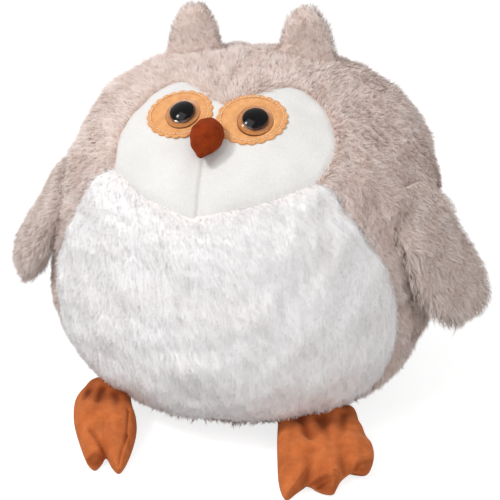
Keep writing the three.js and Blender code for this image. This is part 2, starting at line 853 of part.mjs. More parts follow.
// Sewn panels and stuffing of the body
function bodyPieces() {
  const inside = coreForm(body.plushThickness);
  const limbGroove = (frame, size) => {
    const radius = (size.rootRadius + clearance) / Math.cos(Math.PI / sectionCount);
    return rollForm(frame, size.rootHalfLength + clearance, radius);
  };
  const footGroove = (size) => limbGroove(footSeat, { ...foot, ...size });
  const upperGrooves = limbGroove(wingSeat, wing).add(limbGroove(earSeat, ear));
  const grooves = upperGrooves.add(mirrored(upperGrooves)).add(footGroove(footLeft))
    .add(mirrored(footGroove(footRight)));
  const plush = plushForm(0).subtract(inside).subtract(grooves).subtract(ground());
  const overFace = faceCone(clearance);
  const overBelly = bellyCone(clearance);
  const overBase = baseCone(clearance);
  const eyeRoom = stemHole().add(washerPocket());
  const rest = plush.subtract(overFace).subtract(overBelly).subtract(overBase);
  const left = leftHalf();
  const faceShell = faceForm(0).subtract(inside).intersect(faceCone(0));
  return {
    filling: coreForm(body.plushThickness + clearance).subtract(grooves).subtract(eyeRoom)
      .subtract(mirrored(eyeRoom)),
    faceLeft: faceShell.intersect(left).subtract(eyeRoom),
    belly: plush.intersect(bellyCone(0)).subtract(overFace).subtract(overBase),
    base: plush.intersect(baseCone(0)),
    headLeft: rest.intersect(shoulderCone(0)).intersect(left),
    backLeft: rest.subtract(shoulderCone(clearance)).intersect(left),
  };
}

// Finishes
function finish(colour, roughness, metalness = 0) {
  return new THREE.MeshStandardMaterial({ color: colour, roughness, metalness });
}

const taupePlush = () => finish(colours.taupe, 1);
const wingPlush = () => finish(colours.wingTaupe, 1);
const whitePlush = () => finish(colours.white, 1);
const facePlush = () => finish(colours.faceWhite, 0.95);
const stuffing = () => finish(colours.stuffing, 1);
const suede = () => finish(colours.suede, 0.9);
const footVelour = () => finish(colours.rust, 0.85);
const beakVelour = () => finish(colours.beakRust, 0.8);
const pupilPlastic = () => finish(colours.black, 0.05);
const irisPlastic = () => finish(colours.amber, 0.3);
const lensPlastic = () => finish(colours.clear, 0.03);
const washerNylon = () => finish(colours.nylon, 0.5);

// Assembly
const owl = new THREE.Group();

function addPiece(name, solid, material) {
  const mesh = new THREE.Mesh(geometryOf(solid), material);
  mesh.name = name;
  owl.add(mesh);
}

// A piece of the owl's left side and its mirror image
function addPair(name, solid, materialOf) {
  addPiece(`${name}_left`, solid, materialOf());
  addPiece(`${name}_right`, mirrored(solid), materialOf());
}

function addBody() {
  const pieces = bodyPieces();
  addPiece('body_filling', pieces.filling, stuffing());
  addPiece('belly_panel', pieces.belly, whitePlush());
  addPiece('base_panel', pieces.base, taupePlush());
  addPair('head_panel', pieces.headLeft, taupePlush);
  addPair('back_panel', pieces.backLeft, taupePlush);
  addPair('face_panel', pieces.faceLeft, facePlush);
}

function addBeak() {
  const pieces = beakPieces();
  addPiece('beak_cover', pieces.cover, beakVelour());
  addPiece('beak_filling', pieces.filling, stuffing());
}

function addEyes() {
  const pieces = eyePieces();
  const beakRoom = beakForm(-clearance);
  addPiece('eye_patch_left', pieces.patch.subtract(beakRoom), suede());
  addPiece('eye_patch_right', mirrored(pieces.patch).subtract(beakRoom), suede());
  addPair('eye_base', pieces.base, irisPlastic);
  addPair('eye_pupil', pieces.pupil, pupilPlastic);
  addPair('eye_lens', pieces.lens, lensPlastic);
  addPair('eye_washer', pieces.washer, washerNylon);
}

function addWings() {
  const pieces = wingPieces();
  addPair('wing_outer', pieces.upper, wingPlush);
  addPair('wing_lining', pieces.lower, wingPlush);
  addPair('wing_filling', pieces.filling, stuffing);
}

function addEars() {
  const pieces = earPieces();
  addPair('ear_back', pieces.upper, taupePlush);
  addPair('ear_front', pieces.lower, taupePlush);
  addPair('ear_filling', pieces.filling, stuffing);
}

function addFeet() {
  const left = footPieces(footLeft);
  const right = footPieces(footRight);
  const parts = [
    ['foot_top', 'upper', footVelour],
    ['foot_sole', 'lower', footVelour],
    ['foot_filling', 'filling', stuffing],
  ];
  for (const [name, part, materialOf] of parts) {
    addPiece(`${name}_left`, left[part], materialOf());
    addPiece(`${name}_right`, mirrored(right[part]), materialOf());
  }
}

addBody();
addBeak();
addEyes();
addWings();
addEars();
addFeet();

export default owl;
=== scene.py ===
"""Stuffed plush owl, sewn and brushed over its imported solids.

Lengths are millimetres while the pieces are worked out, and become metres when a mesh is made.
The owl faces -Y, its own left side is +X and it sits on the ground at Z = 0.
"""

import logging
import math
from dataclasses import dataclass, field, fields
from enum import Enum
from typing import Callable, Optional, Sequence, Union

import bpy
import numpy as np
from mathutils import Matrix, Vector


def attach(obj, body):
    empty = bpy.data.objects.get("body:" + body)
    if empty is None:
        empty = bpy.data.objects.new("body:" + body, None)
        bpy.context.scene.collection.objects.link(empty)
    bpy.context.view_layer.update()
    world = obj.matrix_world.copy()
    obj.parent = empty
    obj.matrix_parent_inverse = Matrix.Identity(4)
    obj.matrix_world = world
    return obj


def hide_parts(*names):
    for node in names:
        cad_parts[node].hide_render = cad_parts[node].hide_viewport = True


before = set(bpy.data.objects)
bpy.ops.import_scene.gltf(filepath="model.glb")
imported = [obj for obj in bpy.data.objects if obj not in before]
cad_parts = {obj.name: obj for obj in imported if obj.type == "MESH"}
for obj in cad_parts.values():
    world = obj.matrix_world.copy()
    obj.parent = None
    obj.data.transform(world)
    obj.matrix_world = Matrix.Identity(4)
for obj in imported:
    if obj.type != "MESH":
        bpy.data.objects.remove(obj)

log = logging.getLogger("owl")
Array = np.ndarray
MM = 0.001
TURN = 2 * math.pi
TINY = 1e-9
# Tone at and above which napped cloth shows no painted shade
UNSHADED_TONE = 0.8
SKIN_TONE = 0.75
GROUND_SHARE = 0.4
PILE_FROM = 0.42
PILE_SHARE = 0.58


class Side(Enum):
    """The owl's own sides."""

    LEFT = 1
    RIGHT = -1

    @property
    def word(self) -> str:
        """The side's name in piece names."""
        return self.name.lower()


def by_side(left: object, right: object) -> dict:
    """A field that holds something for each side."""
    return field(default_factory=lambda: {Side.LEFT: left, Side.RIGHT: right})


# Vectors and noise


def unit(vectors: Array) -> Array:
    """Vectors of length one in the same directions."""
    return vectors / np.maximum(np.linalg.norm(vectors, axis=-1, keepdims=True), TINY)


def smooth(low: float, high: float, value: Union[float, Array]) -> Array:
    """A smooth step from 0 at low to 1 at high."""
    share = np.clip((value - low) / (high - low), 0, 1)
    return share * share * (3 - 2 * share)


def bell(away: Array, width: float) -> Array:
    """A soft ridge of height one round zero."""
    return np.exp(-(away / width) ** 2)


def turned_about(vectors: Array, axes: Array, angles: Union[float, Array]) -> Array:
    """Vectors turned about unit axes.

    Args:
        vectors: what is turned, one a row.
        axes: unit axes, one a row.
        angles: radians, one a row.

    Returns:
        The turned vectors.
    """
    cos, sin = np.cos(angles)[..., None], np.sin(angles)[..., None]
    across = np.cross(axes, vectors)
    stay = axes * np.sum(axes * vectors, axis=-1, keepdims=True)
    return vectors * cos + across * sin + stay * (1 - cos)


def ripple(points: Array, size: float, seed: int) -> Array:
    """Smooth noise from about -1 to 1.

    Args:
        points: places in mm, one a row.
        size: length of a wave in mm.
        seed: which noise.

    Returns:
        One value for each place.
    """
    rng = np.random.default_rng(seed)
    waves = 9
    total = np.zeros(points.shape[:-1])
    for _ in range(waves):
        wave = unit(rng.normal(size=3)) * (TURN / size) * rng.uniform(0.6, 1.5)
        total += np.sin(points @ wave + rng.uniform(0, TURN))
    return total / math.sqrt(waves)


def curve_through(knots: Sequence[Sequence[float]], count: int, closed: bool = False) -> Array:
    """A smooth line through knots.

    Args:
        knots: places that the line passes.
        count: how many points it gets for each stretch between knots.
        closed: whether it ends where it starts.

    Returns:
        The points of the line.
    """
    points = np.array(knots, float)
    ends = (points[-1:], points[:2]) if closed else (points[:1], points[-1:])
    row = np.concatenate([ends[0], points, ends[1]])
    line = []
    for before, start, end, after in zip(row, row[1:], row[2:], row[3:]):
        for step in range(count):
            t = step / count
            line.append(
                0.5 * (2 * start + (end - before) * t + (2 * before - 5 * start + 4 * end - after) * t * t
                       + (3 * start - before - 3 * end + after) * t ** 3)
            )
    if not closed:
        line.append(points[-1])
    return np.array(line)


def oval(centre: Array, axes: Sequence[Array], half: Sequence, fullness: float, count: int) -> Array:
    """A ring of points on a squared oval.

    Args:
        centre: its middle.
        axes: its two directions.
        half: half its measure along each, in mm.
        fullness: 2 for a true oval, more for a squarer one.
        count: how many points.

    Returns:
        The points, anticlockwise from the first direction.
    """
    angle = np.linspace(0, TURN, count, endpoint=False)
    full = lambda v: np.sign(v) * np.abs(v) ** (2 / fullness)
    across, up = half[0] * full(np.cos(angle)), half[1] * full(np.sin(angle))
    return centre + np.outer(across, axes[0]) + np.outer(up, axes[1])


def inside(outline: Array, turn: Array, rise: Array) -> Array:
    """Whether directions lie inside a closed outline.

    Args:
        outline: turns and rises along it, in radians.
        turn: radians round from the front.
        rise: radians up from the middle.

    Returns:
        Whether each one does.
    """
    x, y = turn.ravel(), rise.ravel()
    within = np.zeros(len(x), bool)
    for (x1, y1), (x2, y2) in zip(outline, np.roll(outline, -1, 0)):
        crosses = (y1 > y) != (y2 > y)
        cut = (x2 - x1) * (y - y1) / np.where(y2 == y1, 1e-12, y2 - y1) + x1
        within ^= crosses & (x < cut)
    return within.reshape(turn.shape)


def gap_to(line: Array, points: Array) -> Array:
    """Distance in mm from each point to the nearest place on a closed line.

    Args:
        line: the line's points, in mm.
        points: places in mm, one a row.

    Returns:
        One distance for each place.
    """
    best = np.full(len(points), np.inf)
    for start, along in zip(line, np.roll(line, -1, 0) - line):
        share = np.clip(((points - start) @ along) / max(float(along @ along), TINY), 0, 1)
        best = np.minimum(best, np.linalg.norm(points - start - share[:, None] * along, axis=1))
    return best


# Surfaces


@dataclass
class Quilt:
    """A grid of points, sewn shut round its columns if it is closed."""

    points: Array
    closed: bool = True

    @property
    def normals(self) -> Array:
        """Unit normals of the grid, outward where columns run anticlockwise and rows climb.

        Returns:
            One normal for each point.
        """
        grid = self.points
        if self.closed:
            across = np.roll(grid, -1, 1) - np.roll(grid, 1, 1)
        else:
            across = np.gradient(grid, axis=1)
        return unit(np.cross(across, np.gradient(grid, axis=0)))

    def quads(self) -> Array:
        """Corner indices of the grid's faces, row by row.

        Returns:
            Four indices for each face.
        """
        rows, columns = self.points.shape[:2]
        index = np.arange(rows * columns).reshape(rows, columns)
        right = np.roll(index, -1, 1) if self.closed else index[:, 1:]
        left = index if self.closed else index[:, :-1]
        corners = [left[:-1], right[:-1], right[1:], left[1:]]
        return np.stack(corners, -1).reshape(-1, 4)

    def scatter(self, spacing: float, rng: np.random.Generator) -> tuple:
        """Places spread evenly over the grid.

        Args:
            spacing: about how far apart they are, in mm.
            rng: source of chance.

        Returns:
            Places, normals, and the row and column that each lies at.
        """
        tries = 8
        faces = self.quads()
        corner = self.points.reshape(-1, 3)[faces]
        crossed = np.cross(corner[:, 2] - corner[:, 0], corner[:, 3] - corner[:, 1])
        area = 0.5 * np.linalg.norm(crossed, axis=1)
        count = int(area.sum() / spacing ** 2 * tries)
        pick = rng.choice(len(faces), count, p=area / area.sum())
        u, v = rng.random(count)[:, None], rng.random(count)[:, None]
        place = self.within(corner[pick], u, v)
        normal = unit(self.within(self.normals.reshape(-1, 3)[faces[pick]], u, v))
        _, first = np.unique(np.floor(place / spacing).astype(int), axis=0, return_index=True)
        first = np.sort(first)
        wide = len(faces) // (len(self.points) - 1)
        row = pick[first] // wide + v[first, 0]
        column = pick[first] % wide + u[first, 0]
        return place[first], normal[first], row, column

    @staticmethod
    def within(corner: Array, u: Array, v: Array) -> Array:
        """Values inside faces, from those at their corners and the shares across and up.

        Args:
            corner: values at the four corners of each face.
            u: share across each face.
            v: share up each face.

        Returns:
            One value for each face.
        """
        low = corner[:, 0] * (1 - u) + corner[:, 1] * u
        high = corner[:, 3] * (1 - u) + corner[:, 2] * u
        return low * (1 - v) + high * v


@dataclass
class Cloth:
    """What a mesh is made of: corners, faces, normals, tone of the pile or of painted shade, and places on
    the dye sheet.
    """

    verts: list = field(default_factory=list)
    faces: list = field(default_factory=list)
    normals: list = field(default_factory=list)
    tones: list = field(default_factory=list)
    sheet: list = field(default_factory=list)
    size: int = 0

    def add(self, verts: Array, faces: Sequence[Array], normals: Array, tones: Array, sheet: Array) -> None:
        """Adds corners in mm with their normals, tones and places, and sets of faces on them.

        Args:
            verts: corners in mm.
            faces: sets of faces that count from the first corner.
            normals: one for each corner.
            tones: one for each corner.
            sheet: a place on the dye sheet for each corner.
        """
        self.verts.append(verts)
        self.faces += [some + self.size for some in faces]
        self.normals.append(normals)
        self.tones.append(tones)
        self.sheet.append(sheet)
        self.size += len(verts)

    def add_grid(self, quilt: Quilt, keep: Optional[Array] = None, tone: Union[float, Array] = UNSHADED_TONE,
                 width: float = 1.0) -> None:
        """Adds a grid surface.

        Args:
            quilt: the grid.
            keep: which faces are kept.
            tone: how light it is, between the colour deep in the pile and at its tips, or on napped cloth how
                little painted shade it has.
            width: share of the dye sheet that it takes.
        """
        rows, columns = quilt.points.shape[:2]
        faces = quilt.quads()
        if keep is not None:
            faces = faces[keep]
        row, column = np.mgrid[0:rows, 0:columns]
        sheet = np.stack([column / columns * width, row / rows], -1).reshape(-1, 2)
        used, faces = np.unique(faces, return_inverse=True)
        points = quilt.points.reshape(-1, 3)[used]
        tones = np.broadcast_to(tone, (rows, columns)).reshape(-1)[used]
        self.add(points, [faces.reshape(-1, 4)], quilt.normals.reshape(-1, 3)[used], tones, sheet[used])

    def flip(self, side: Side) -> None:
        """Mirrors the cloth, which was made for the left side, if the side is the right one.

        Args:
            side: the owl's side that the cloth is for.
        """
        if side is Side.LEFT:
            return
        across = np.array([side.value, 1, 1])
        self.verts = [v * across for v in self.verts]
        self.normals = [n * across for n in self.normals]
        self.faces = [f[:, ::-1] for f in self.faces]

    def mesh(self, name: str) -> bpy.types.Mesh:
        """Makes the Blender mesh.

        Args:
            name: the mesh's name.

        Returns:
            The mesh, in metres.
        """
        verts = np.concatenate(self.verts) * MM
        loops = np.concatenate([f.reshape(-1) for f in self.faces])
        totals = np.concatenate([np.full(len(f), f.shape[1]) for f in self.faces])
        starts = np.concatenate([[0], np.cumsum(totals)[:-1]])
        mesh = bpy.data.meshes.new(name)
        mesh.vertices.add(len(verts))
        mesh.vertices.foreach_set("co", verts.astype(np.float32).ravel())
        mesh.loops.add(len(loops))
        mesh.loops.foreach_set("vertex_index", loops.astype(np.int32))
        mesh.polygons.add(len(totals))
        mesh.polygons.foreach_set("loop_start", starts.astype(np.int32))
        mesh.update(calc_edges=True)
        mesh.shade_smooth()
        tone = mesh.attributes.new("tone", "FLOAT", "POINT")
        tone.data.foreach_set("value", np.concatenate(self.tones).astype(np.float32))
        sheet = mesh.uv_layers.new(name="OFBake")
        sheet.data.foreach_set("uv", np.concatenate(self.sheet)[loops].astype(np.float32).ravel())
        normal = mesh.attributes.new("custom_normal", "FLOAT_VECTOR", "POINT")
        normal.data.foreach_set("vector", unit(np.concatenate(self.normals)).astype(np.float32).ravel())
        mesh.update()
        return mesh


@dataclass
class Locks:
    """Locks of pile: where each grows, which way it is brushed, how long, how tilted and how light it is."""

    place: Array
    normal: Array
    comb: Array
    length: Array
    lean: Array
    tone: Array

    def only(self, keep: Array) -> "Locks":
        """The locks that are kept."""
        return Locks(*(getattr(self, part.name)[keep] for part in fields(self)))


@dataclass(frozen=True)
class Pile:
    """How the pile of one plush grows: its locks first, then the strands of each."""

    length: float = 6.2
    lean: float = 61.0
    spacing: float = 1.9
    swirl: float = 36.0
    swirl_waves: tuple = ((42, 0.7), (15, 0.5))
    swell_wave: float = 18
    lock_swirl: float = 16.0
    lean_spread: float = 9.0
    lean_limits: tuple = (0.05, 1.35)
    length_spread: float = 0.2
    length_limits: tuple = (0.5, 1.5)
    tone: float = 0.62
    tone_spread: float = 0.24
    tilt: float = 0.16
    strands: int = 4
    spread: float = 1.6
    pull: float = 0.35
    width: float = 0.16
    stray: float = 0.25
    curl: float = 0.3
    strand_lean_spread: float = 0.12
    strand_tone_spread: float = 0.05
    strand_lengths: tuple = (0.72, 1.08)
    strand_widths: tuple = (0.8, 1.25)
    strand_pulls: tuple = (0.6, 1.1)
    strand_twist: float = 0.7
    early_share: float = 0.45
    middle_pull: float = 0.45
    root_lean: float = 0.45
    middle_at: float = 0.52
    middle_width: float = 0.85
    roundness: float = 0.35
    strand_tones: tuple = (0.75, 0.75, 1.0, 1.0, 1.2)

    def locks(self, place: Array, normal: Array, comb: Array, rng: np.random.Generator, seed: int) -> Locks:
        """Sets locks out on a surface.

        Args:
            place: where they grow, in mm.
            normal: outward normals there.
            comb: which way the pile is brushed.
            rng: source of chance.
            seed: which noise waves the pile.

        Returns:
            The locks.
        """
        count = len(place)
        comb = unit(comb - normal * np.sum(comb * normal, axis=1, keepdims=True))
        wave = sum(ripple(place, size, seed + i) * share for i, (size, share) in enumerate(self.swirl_waves))
        angle = np.radians(self.swirl * wave + rng.normal(0, self.lock_swirl, count))
        comb = turned_about(comb, normal, angle)
        swell = ripple(place, self.swell_wave, seed + 2)
        length = self.length * (1 + self.length_spread * (0.6 * swell + rng.normal(0, 0.7, count)))
        lean = np.radians(self.lean + self.lean_spread * (rng.normal(0, 1, count) - 0.8 * swell))
        tone = self.tone + self.tone_spread * (0.6 * swell + 0.5 * rng.normal(0, 1, count))
        shortest, longest = (self.length * limit for limit in self.length_limits)
        length, lean = np.clip(length, shortest, longest), np.clip(lean, *self.lean_limits)
        return Locks(place, normal, comb, length, lean, tone)

    def grow(self, cloth: Cloth, locks: Locks, rng: np.random.Generator) -> None:
        """Adds the strands of the locks to a cloth, each a ribbon of four corners and a tip.

        Args:
            cloth: what they grow on.
            locks: the locks.
            rng: source of chance.
        """
        count = len(locks.place)
        total = count * self.strands
        repeat = lambda a: np.repeat(a, self.strands, axis=0)
        normal, comb = repeat(locks.normal), repeat(locks.comb)
        side = np.cross(normal, comb)
        reach = self.spread * np.sqrt(rng.random(total))
        angle = rng.uniform(0, TURN, total)
        offset = comb * (reach * np.cos(angle))[:, None] + side * (reach * np.sin(angle))[:, None]
        root = repeat(locks.place) + offset
        length = repeat(locks.length) * rng.uniform(*self.strand_lengths, total)
        lean = repeat(locks.lean) + rng.normal(0, self.strand_lean_spread, total)
        bend = side * rng.normal(0, self.curl, total)[:, None]
        leaning = lambda angles: normal * np.cos(angles)[:, None] + comb * np.sin(angles)[:, None]
        early, late = unit(leaning(lean * self.root_lean) - bend), unit(leaning(lean) + bend)
        pulled = -offset * self.pull * rng.uniform(*self.strand_pulls, total)[:, None]
        middle = root + early * (length * self.middle_at)[:, None] + pulled * self.middle_pull
        way = early * self.early_share + late * (1 - self.early_share)
        tip = root + way * length[:, None] + pulled
        tip += rng.normal(0, self.stray, (total, 3))
        along = tip - root
        twist = rng.uniform(-self.strand_twist, self.strand_twist, total)
        flat = turned_about(unit(np.cross(along, normal) + 1e-6), unit(along), twist)
        half = flat * (self.width * rng.uniform(*self.strand_widths, total)[:, None])
        verts = np.stack([root - half, root + half, middle - half * self.middle_width,
                          middle + half * self.middle_width, tip], 1)
        ribbon = unit(np.cross(flat, along))
        ribbon *= np.sign(np.sum(ribbon * normal, axis=1, keepdims=True) + TINY)
        lock_tilt = repeat(rng.normal(0, self.tilt, (count, 3)))
        shade = unit(normal + ribbon * self.roundness + lock_tilt)
        tone = repeat(locks.tone) + rng.normal(0, self.strand_tone_spread, total)
        tones = tone[:, None] * np.array(self.strand_tones)
        corners = len(self.strand_tones)
        base = np.arange(total)[:, None] * corners
        faces = [base + np.array([0, 1, 3, 2]), base + np.array([2, 3, 4])]
        cloth.add(verts.reshape(-1, 3), faces, np.repeat(shade, corners, axis=0), tones.reshape(-1),
                  self.sheet(count).reshape(-1, 2))

    def sheet(self, count: int) -> Array:
        """Places of the strands' corners on the dye sheet, one cell for each lock.

        Args:
            count: how many locks there are.

        Returns:
            Five places for each strand.
        """
        columns = math.ceil(math.sqrt(count * PILE_SHARE))
        rows = math.ceil(count / columns)
        lock = np.repeat(np.arange(count), self.strands)
        cell = np.stack([PILE_FROM + PILE_SHARE * (lock % columns) / columns, (lock // columns) / rows], -1)
        corner = np.array([[0.1, 0.08], [0.9, 0.08], [0.1, 0.5], [0.9, 0.5], [0.5, 0.92]])
        return cell[:, None] + corner * np.array([PILE_SHARE / columns, 1 / rows])


# Shaders


Value = Union["Sock", float]


class Sock:
    """A shader socket that takes part in sums."""

    def __init__(self, dye: "Dye", socket: bpy.types.NodeSocket) -> None:
        """Wraps a socket of the material that is being mixed."""
        self.dye = dye
        self.socket = socket

    def math(self, operation: str, first: Value, second: Value) -> "Sock":
        """A Math node on two values."""
        return self.dye.node("ShaderNodeMath", {"operation": operation}, {0: first, 1: second})

    def __add__(self, other: Value) -> "Sock":
        """Sum."""
        return self.math("ADD", self, other)

    def __radd__(self, other: Value) -> "Sock":
        """Sum, reflected."""
        return self.math("ADD", other, self)

    def __sub__(self, other: Value) -> "Sock":
        """Difference."""
        return self.math("SUBTRACT", self, other)

    def __rsub__(self, other: Value) -> "Sock":
        """Difference, reflected."""
        return self.math("SUBTRACT", other, self)

    def __mul__(self, other: Value) -> "Sock":
        """Product."""
        return self.math("MULTIPLY", self, other)

    def __rmul__(self, other: Value) -> "Sock":
        """Product, reflected."""
        return self.math("MULTIPLY", other, self)


Colour = Union[Sock, str]


def linear(code: str) -> tuple:
    """A hex colour as linear RGBA."""
    parts = [int(code[i:i + 2], 16) / 255 for i in (1, 3, 5)]
    return tuple(p / 12.92 if p <= 0.04045 else ((p + 0.055) / 1.055) ** 2.4 for p in parts) + (1.0,)


class Dye:
    """A material while it is being mixed."""

    @classmethod
    def of_tree(cls, tree: bpy.types.NodeTree) -> "Dye":
        """Mixes in a tree that is there already.

        Args:
            tree: the tree that gets the nodes.

        Returns:
            What mixes there.
        """
        dye = cls.__new__(cls)
        dye.tree = tree
        return dye

    def __init__(self, name: str) -> None:
        """Starts a material with a Principled surface.

        Args:
            name: the material's name.
        """
        self.material = bpy.data.materials.new(name)
        self.material.use_nodes = True
        self.tree = self.material.node_tree
        self.surface = self.tree.nodes["Principled BSDF"]

    def node(self, kind: str, settings: Optional[dict] = None, inputs: Optional[dict] = None,
             output: Union[int, str] = 0) -> Sock:
        """Adds a node.

        Args:
            kind: the node's type.
            settings: properties, set first; stops are the ramp's places and colours.
            inputs: values or links of its sockets.
            output: which output is wanted.

        Returns:
            The wanted output.
        """
        node = self.tree.nodes.new(kind)
        settings = dict(settings or {})
        for i, (place, colour) in enumerate(settings.pop("stops", ())):
            stops = node.color_ramp.elements
            stop = stops[i] if i < len(stops) else stops.new(place)
            stop.position, stop.color = place, colour
        for key, value in settings.items():
            setattr(node, key, value)
        for key, value in (inputs or {}).items():
            self.feed(node.inputs[key], value)
        return Sock(self, node.outputs[output])

    def feed(self, socket: bpy.types.NodeSocket, value: Union[Value, str, Sequence[float]]) -> None:
        """Links or sets one socket.

        Args:
            socket: an input of a node.
            value: a socket, a hex colour or numbers.
        """
        if isinstance(value, Sock):
            self.tree.links.new(value.socket, socket)
        elif isinstance(value, str):
            socket.default_value = linear(value)
        else:
            socket.default_value = value

    def set(self, **inputs: Union[Value, str, Sequence[float]]) -> None:
        """Sets inputs of the surface, named with underscores."""
        for key, value in inputs.items():
            self.feed(self.surface.inputs[key.replace("_", " ")], value)

    def place(self, scale: Sequence[float] = (1, 1, 1)) -> Sock:
        """The object's own coordinates in mm, stretched.

        Args:
            scale: how much each axis is stretched.

        Returns:
            The stretched coordinates.
        """
        where = self.node("ShaderNodeTexCoord", output="Object")
        stretch = tuple(share / MM for share in scale)
        return self.node("ShaderNodeVectorMath", {"operation": "MULTIPLY"}, {0: where, 1: stretch})

    def noise(self, size: float, detail: float = 2, scale: Sequence[float] = (1, 1, 1)) -> Sock:
        """Noise from 0 to 1 with lumps of a size in mm."""
        return self.node("ShaderNodeTexNoise", None,
                         {"Vector": self.place(scale), "Scale": 1 / size, "Detail": float(detail)})

    def tone(self) -> Sock:
        """The tone that the mesh carries."""
        return self.node("ShaderNodeAttribute", {"attribute_name": "tone"}, output="Fac")

    def blend(self, share: Value, first: Colour, second: Colour) -> Sock:
        """Mixes two colours."""
        return self.node("ShaderNodeMix", {"data_type": "RGBA"}, {0: share, 6: first, 7: second}, output=2)

    def steps(self, value: Sock, *stops: Sequence) -> Sock:
        """A ramp through places and hex colours."""
        ramp = [(place, linear(code)) for place, code in stops]
        return self.node("ShaderNodeValToRGB", {"stops": ramp}, {0: value})

    def between(self, value: Sock, low: float, high: float, start: float = 0.0, end: float = 1.0) -> Sock:
        """A value mapped from low and high to start and end."""
        return self.node("ShaderNodeMapRange", {"clamp": True},
                         {"Value": value, "From Min": low, "From Max": high, "To Min": start, "To Max": end})

    def either(self, share: Sock, first: Sock, second: Sock, output: str) -> None:
        """Leads one of two shaders, by a share, to the tree's output."""
        both = self.node("ShaderNodeMixShader", None, {0: share, 1: first, 2: second})
        self.feed(self.tree.nodes[output].inputs["Surface"], both)

    def seen_directly(self) -> Sock:
        """Whether a ray comes from the camera, straight, through glass or from a glossy surface.

        Returns:
            1 where it does and 0 elsewhere.
        """
        seen = self.node("ShaderNodeLightPath", output="Is Camera Ray")
        for way in ("Is Transmission Ray", "Is Glossy Ray"):
            other = self.node("ShaderNodeLightPath", output=way)
            seen = self.node("ShaderNodeMath", {"operation": "MAXIMUM"}, {0: seen, 1: other})
        return seen

    def relief(self, height: Sock, depth: float, strength: float = 1.0) -> None:
        """Gives the surface a bump of a depth in mm."""
        inputs = {"Height": height, "Strength": strength, "Distance": depth * MM}
        self.set(Normal=self.node("ShaderNodeBump", None, inputs))


@dataclass(frozen=True)
class PlushFinish:
    """Long pile, darker deep down and lighter at the tips, with cloudy patches."""

    name: str
    deep: str
    middle: str
    tips: str
    patch: str
    patch_size: float = 34
    strand_size: float = 1.5
    lock_size: float = 4.5
    depth: float = 0.8

    def make(self) -> bpy.types.Material:
        """Makes the material.

        Returns:
            The material.
        """
        dye = Dye(self.name)
        pile = dye.steps(dye.tone(), (0.1, self.deep), (0.5, self.middle), (0.85, self.tips))
        cloud = dye.between(dye.noise(self.patch_size, 3), 0.35, 0.7, 0, 0.6)
        dye.set(Base_Color=dye.blend(cloud, pile, dye.blend(0.5, pile, self.patch)), Roughness=0.95,
                Specular_IOR_Level=0.15, Sheen_Weight=0.12, Sheen_Roughness=0.6)
        strands = dye.noise(self.strand_size, 3, (1, 1, 0.3))
        dye.relief(strands + dye.noise(self.lock_size, 2, (1, 1, 0.5)) * 0.8, self.depth, 0.5)
        return dye.material


@dataclass(frozen=True)
class NapFinish:
    """Short napped cloth with a fine grain: face plush, velour or suede, turning to a painted shade colour
    where the mesh's tone is low.
    """

    name: str
    light: str
    dark: str
    cloud: float
    grain: float
    depth: float
    sheen: float
    roughness: float
    stretch: tuple = (1, 1, 1)
    tint: str = "#ffffff"
    crease: str = "#9a938d"

    def make(self) -> bpy.types.Material:
        """Makes the material.

        Returns:
            The material.
        """
        dye = Dye(self.name)
        grain = dye.noise(self.grain, 3, self.stretch)
        shade = dye.between(grain * 0.45 + dye.noise(self.cloud, 4) * 0.55, 0.34, 0.66)
        # Painted shade: below the unshaded tone the colour turns toward the painted shade colour
        unshaded = dye.between(dye.tone(), 0.0, UNSHADED_TONE)
        colour = dye.blend(unshaded, self.crease, dye.blend(shade, self.dark, self.light))
        dye.set(Base_Color=colour, Roughness=self.roughness, Specular_IOR_Level=0.2,
                Sheen_Weight=self.sheen, Sheen_Roughness=0.45, Sheen_Tint=self.tint)
        dye.relief(grain + dye.noise(self.grain * 5, 2) * 0.6, self.depth)
        return dye.material


@dataclass(frozen=True)
class PlasticFinish:
    """Moulded plastic, clear where see_through is set."""

    name: str
    colour: str
    roughness: float
    see_through: float = 0.0
    gloss: float = 0.5
    bend: float = 1.46

    def make(self) -> bpy.types.Material:
        """Makes the material, which lets the lamps light what lies behind it where it is clear.

        Returns:
            The material.
        """
        dye = Dye(self.name)
        wear = dye.between(dye.noise(3, 2), 0.4, 0.7, self.roughness, self.roughness * 1.5 + 0.01)
        dye.set(Base_Color=self.colour, Roughness=wear, Transmission_Weight=self.see_through, IOR=self.bend,
                Specular_IOR_Level=self.gloss)
        if self.see_through:
            shadow = dye.node("ShaderNodeLightPath", output="Is Shadow Ray")
            clear = dye.node("ShaderNodeBsdfTransparent")
            dye.either(shadow, Sock(dye, dye.surface.outputs[0]), clear, "Material Output")
        return dye.material


@dataclass(frozen=True)
class IrisFinish:
    """Iris disc, darker round the pupil and at its rim."""

    name: str
    outer: str
    inner: str
    middle: tuple
    pupil_edge: float = 8.8
    rim: float = 12.6

    def make(self) -> bpy.types.Material:
        """Makes the material.

        Returns:
            The material.
        """
        dye = Dye(self.name)
        away = dye.node("ShaderNodeVectorMath", {"operation": "DISTANCE"}, {0: dye.place(), 1: self.middle},
                        output="Value")
        ring = dye.between(away + dye.noise(1.1, 3), self.pupil_edge, self.rim)
        colour = dye.steps(ring, (0.0, self.inner), (0.25, self.outer), (0.8, self.outer), (1.0, self.inner))
        dye.set(Base_Color=colour, Roughness=0.35)
        return dye.material


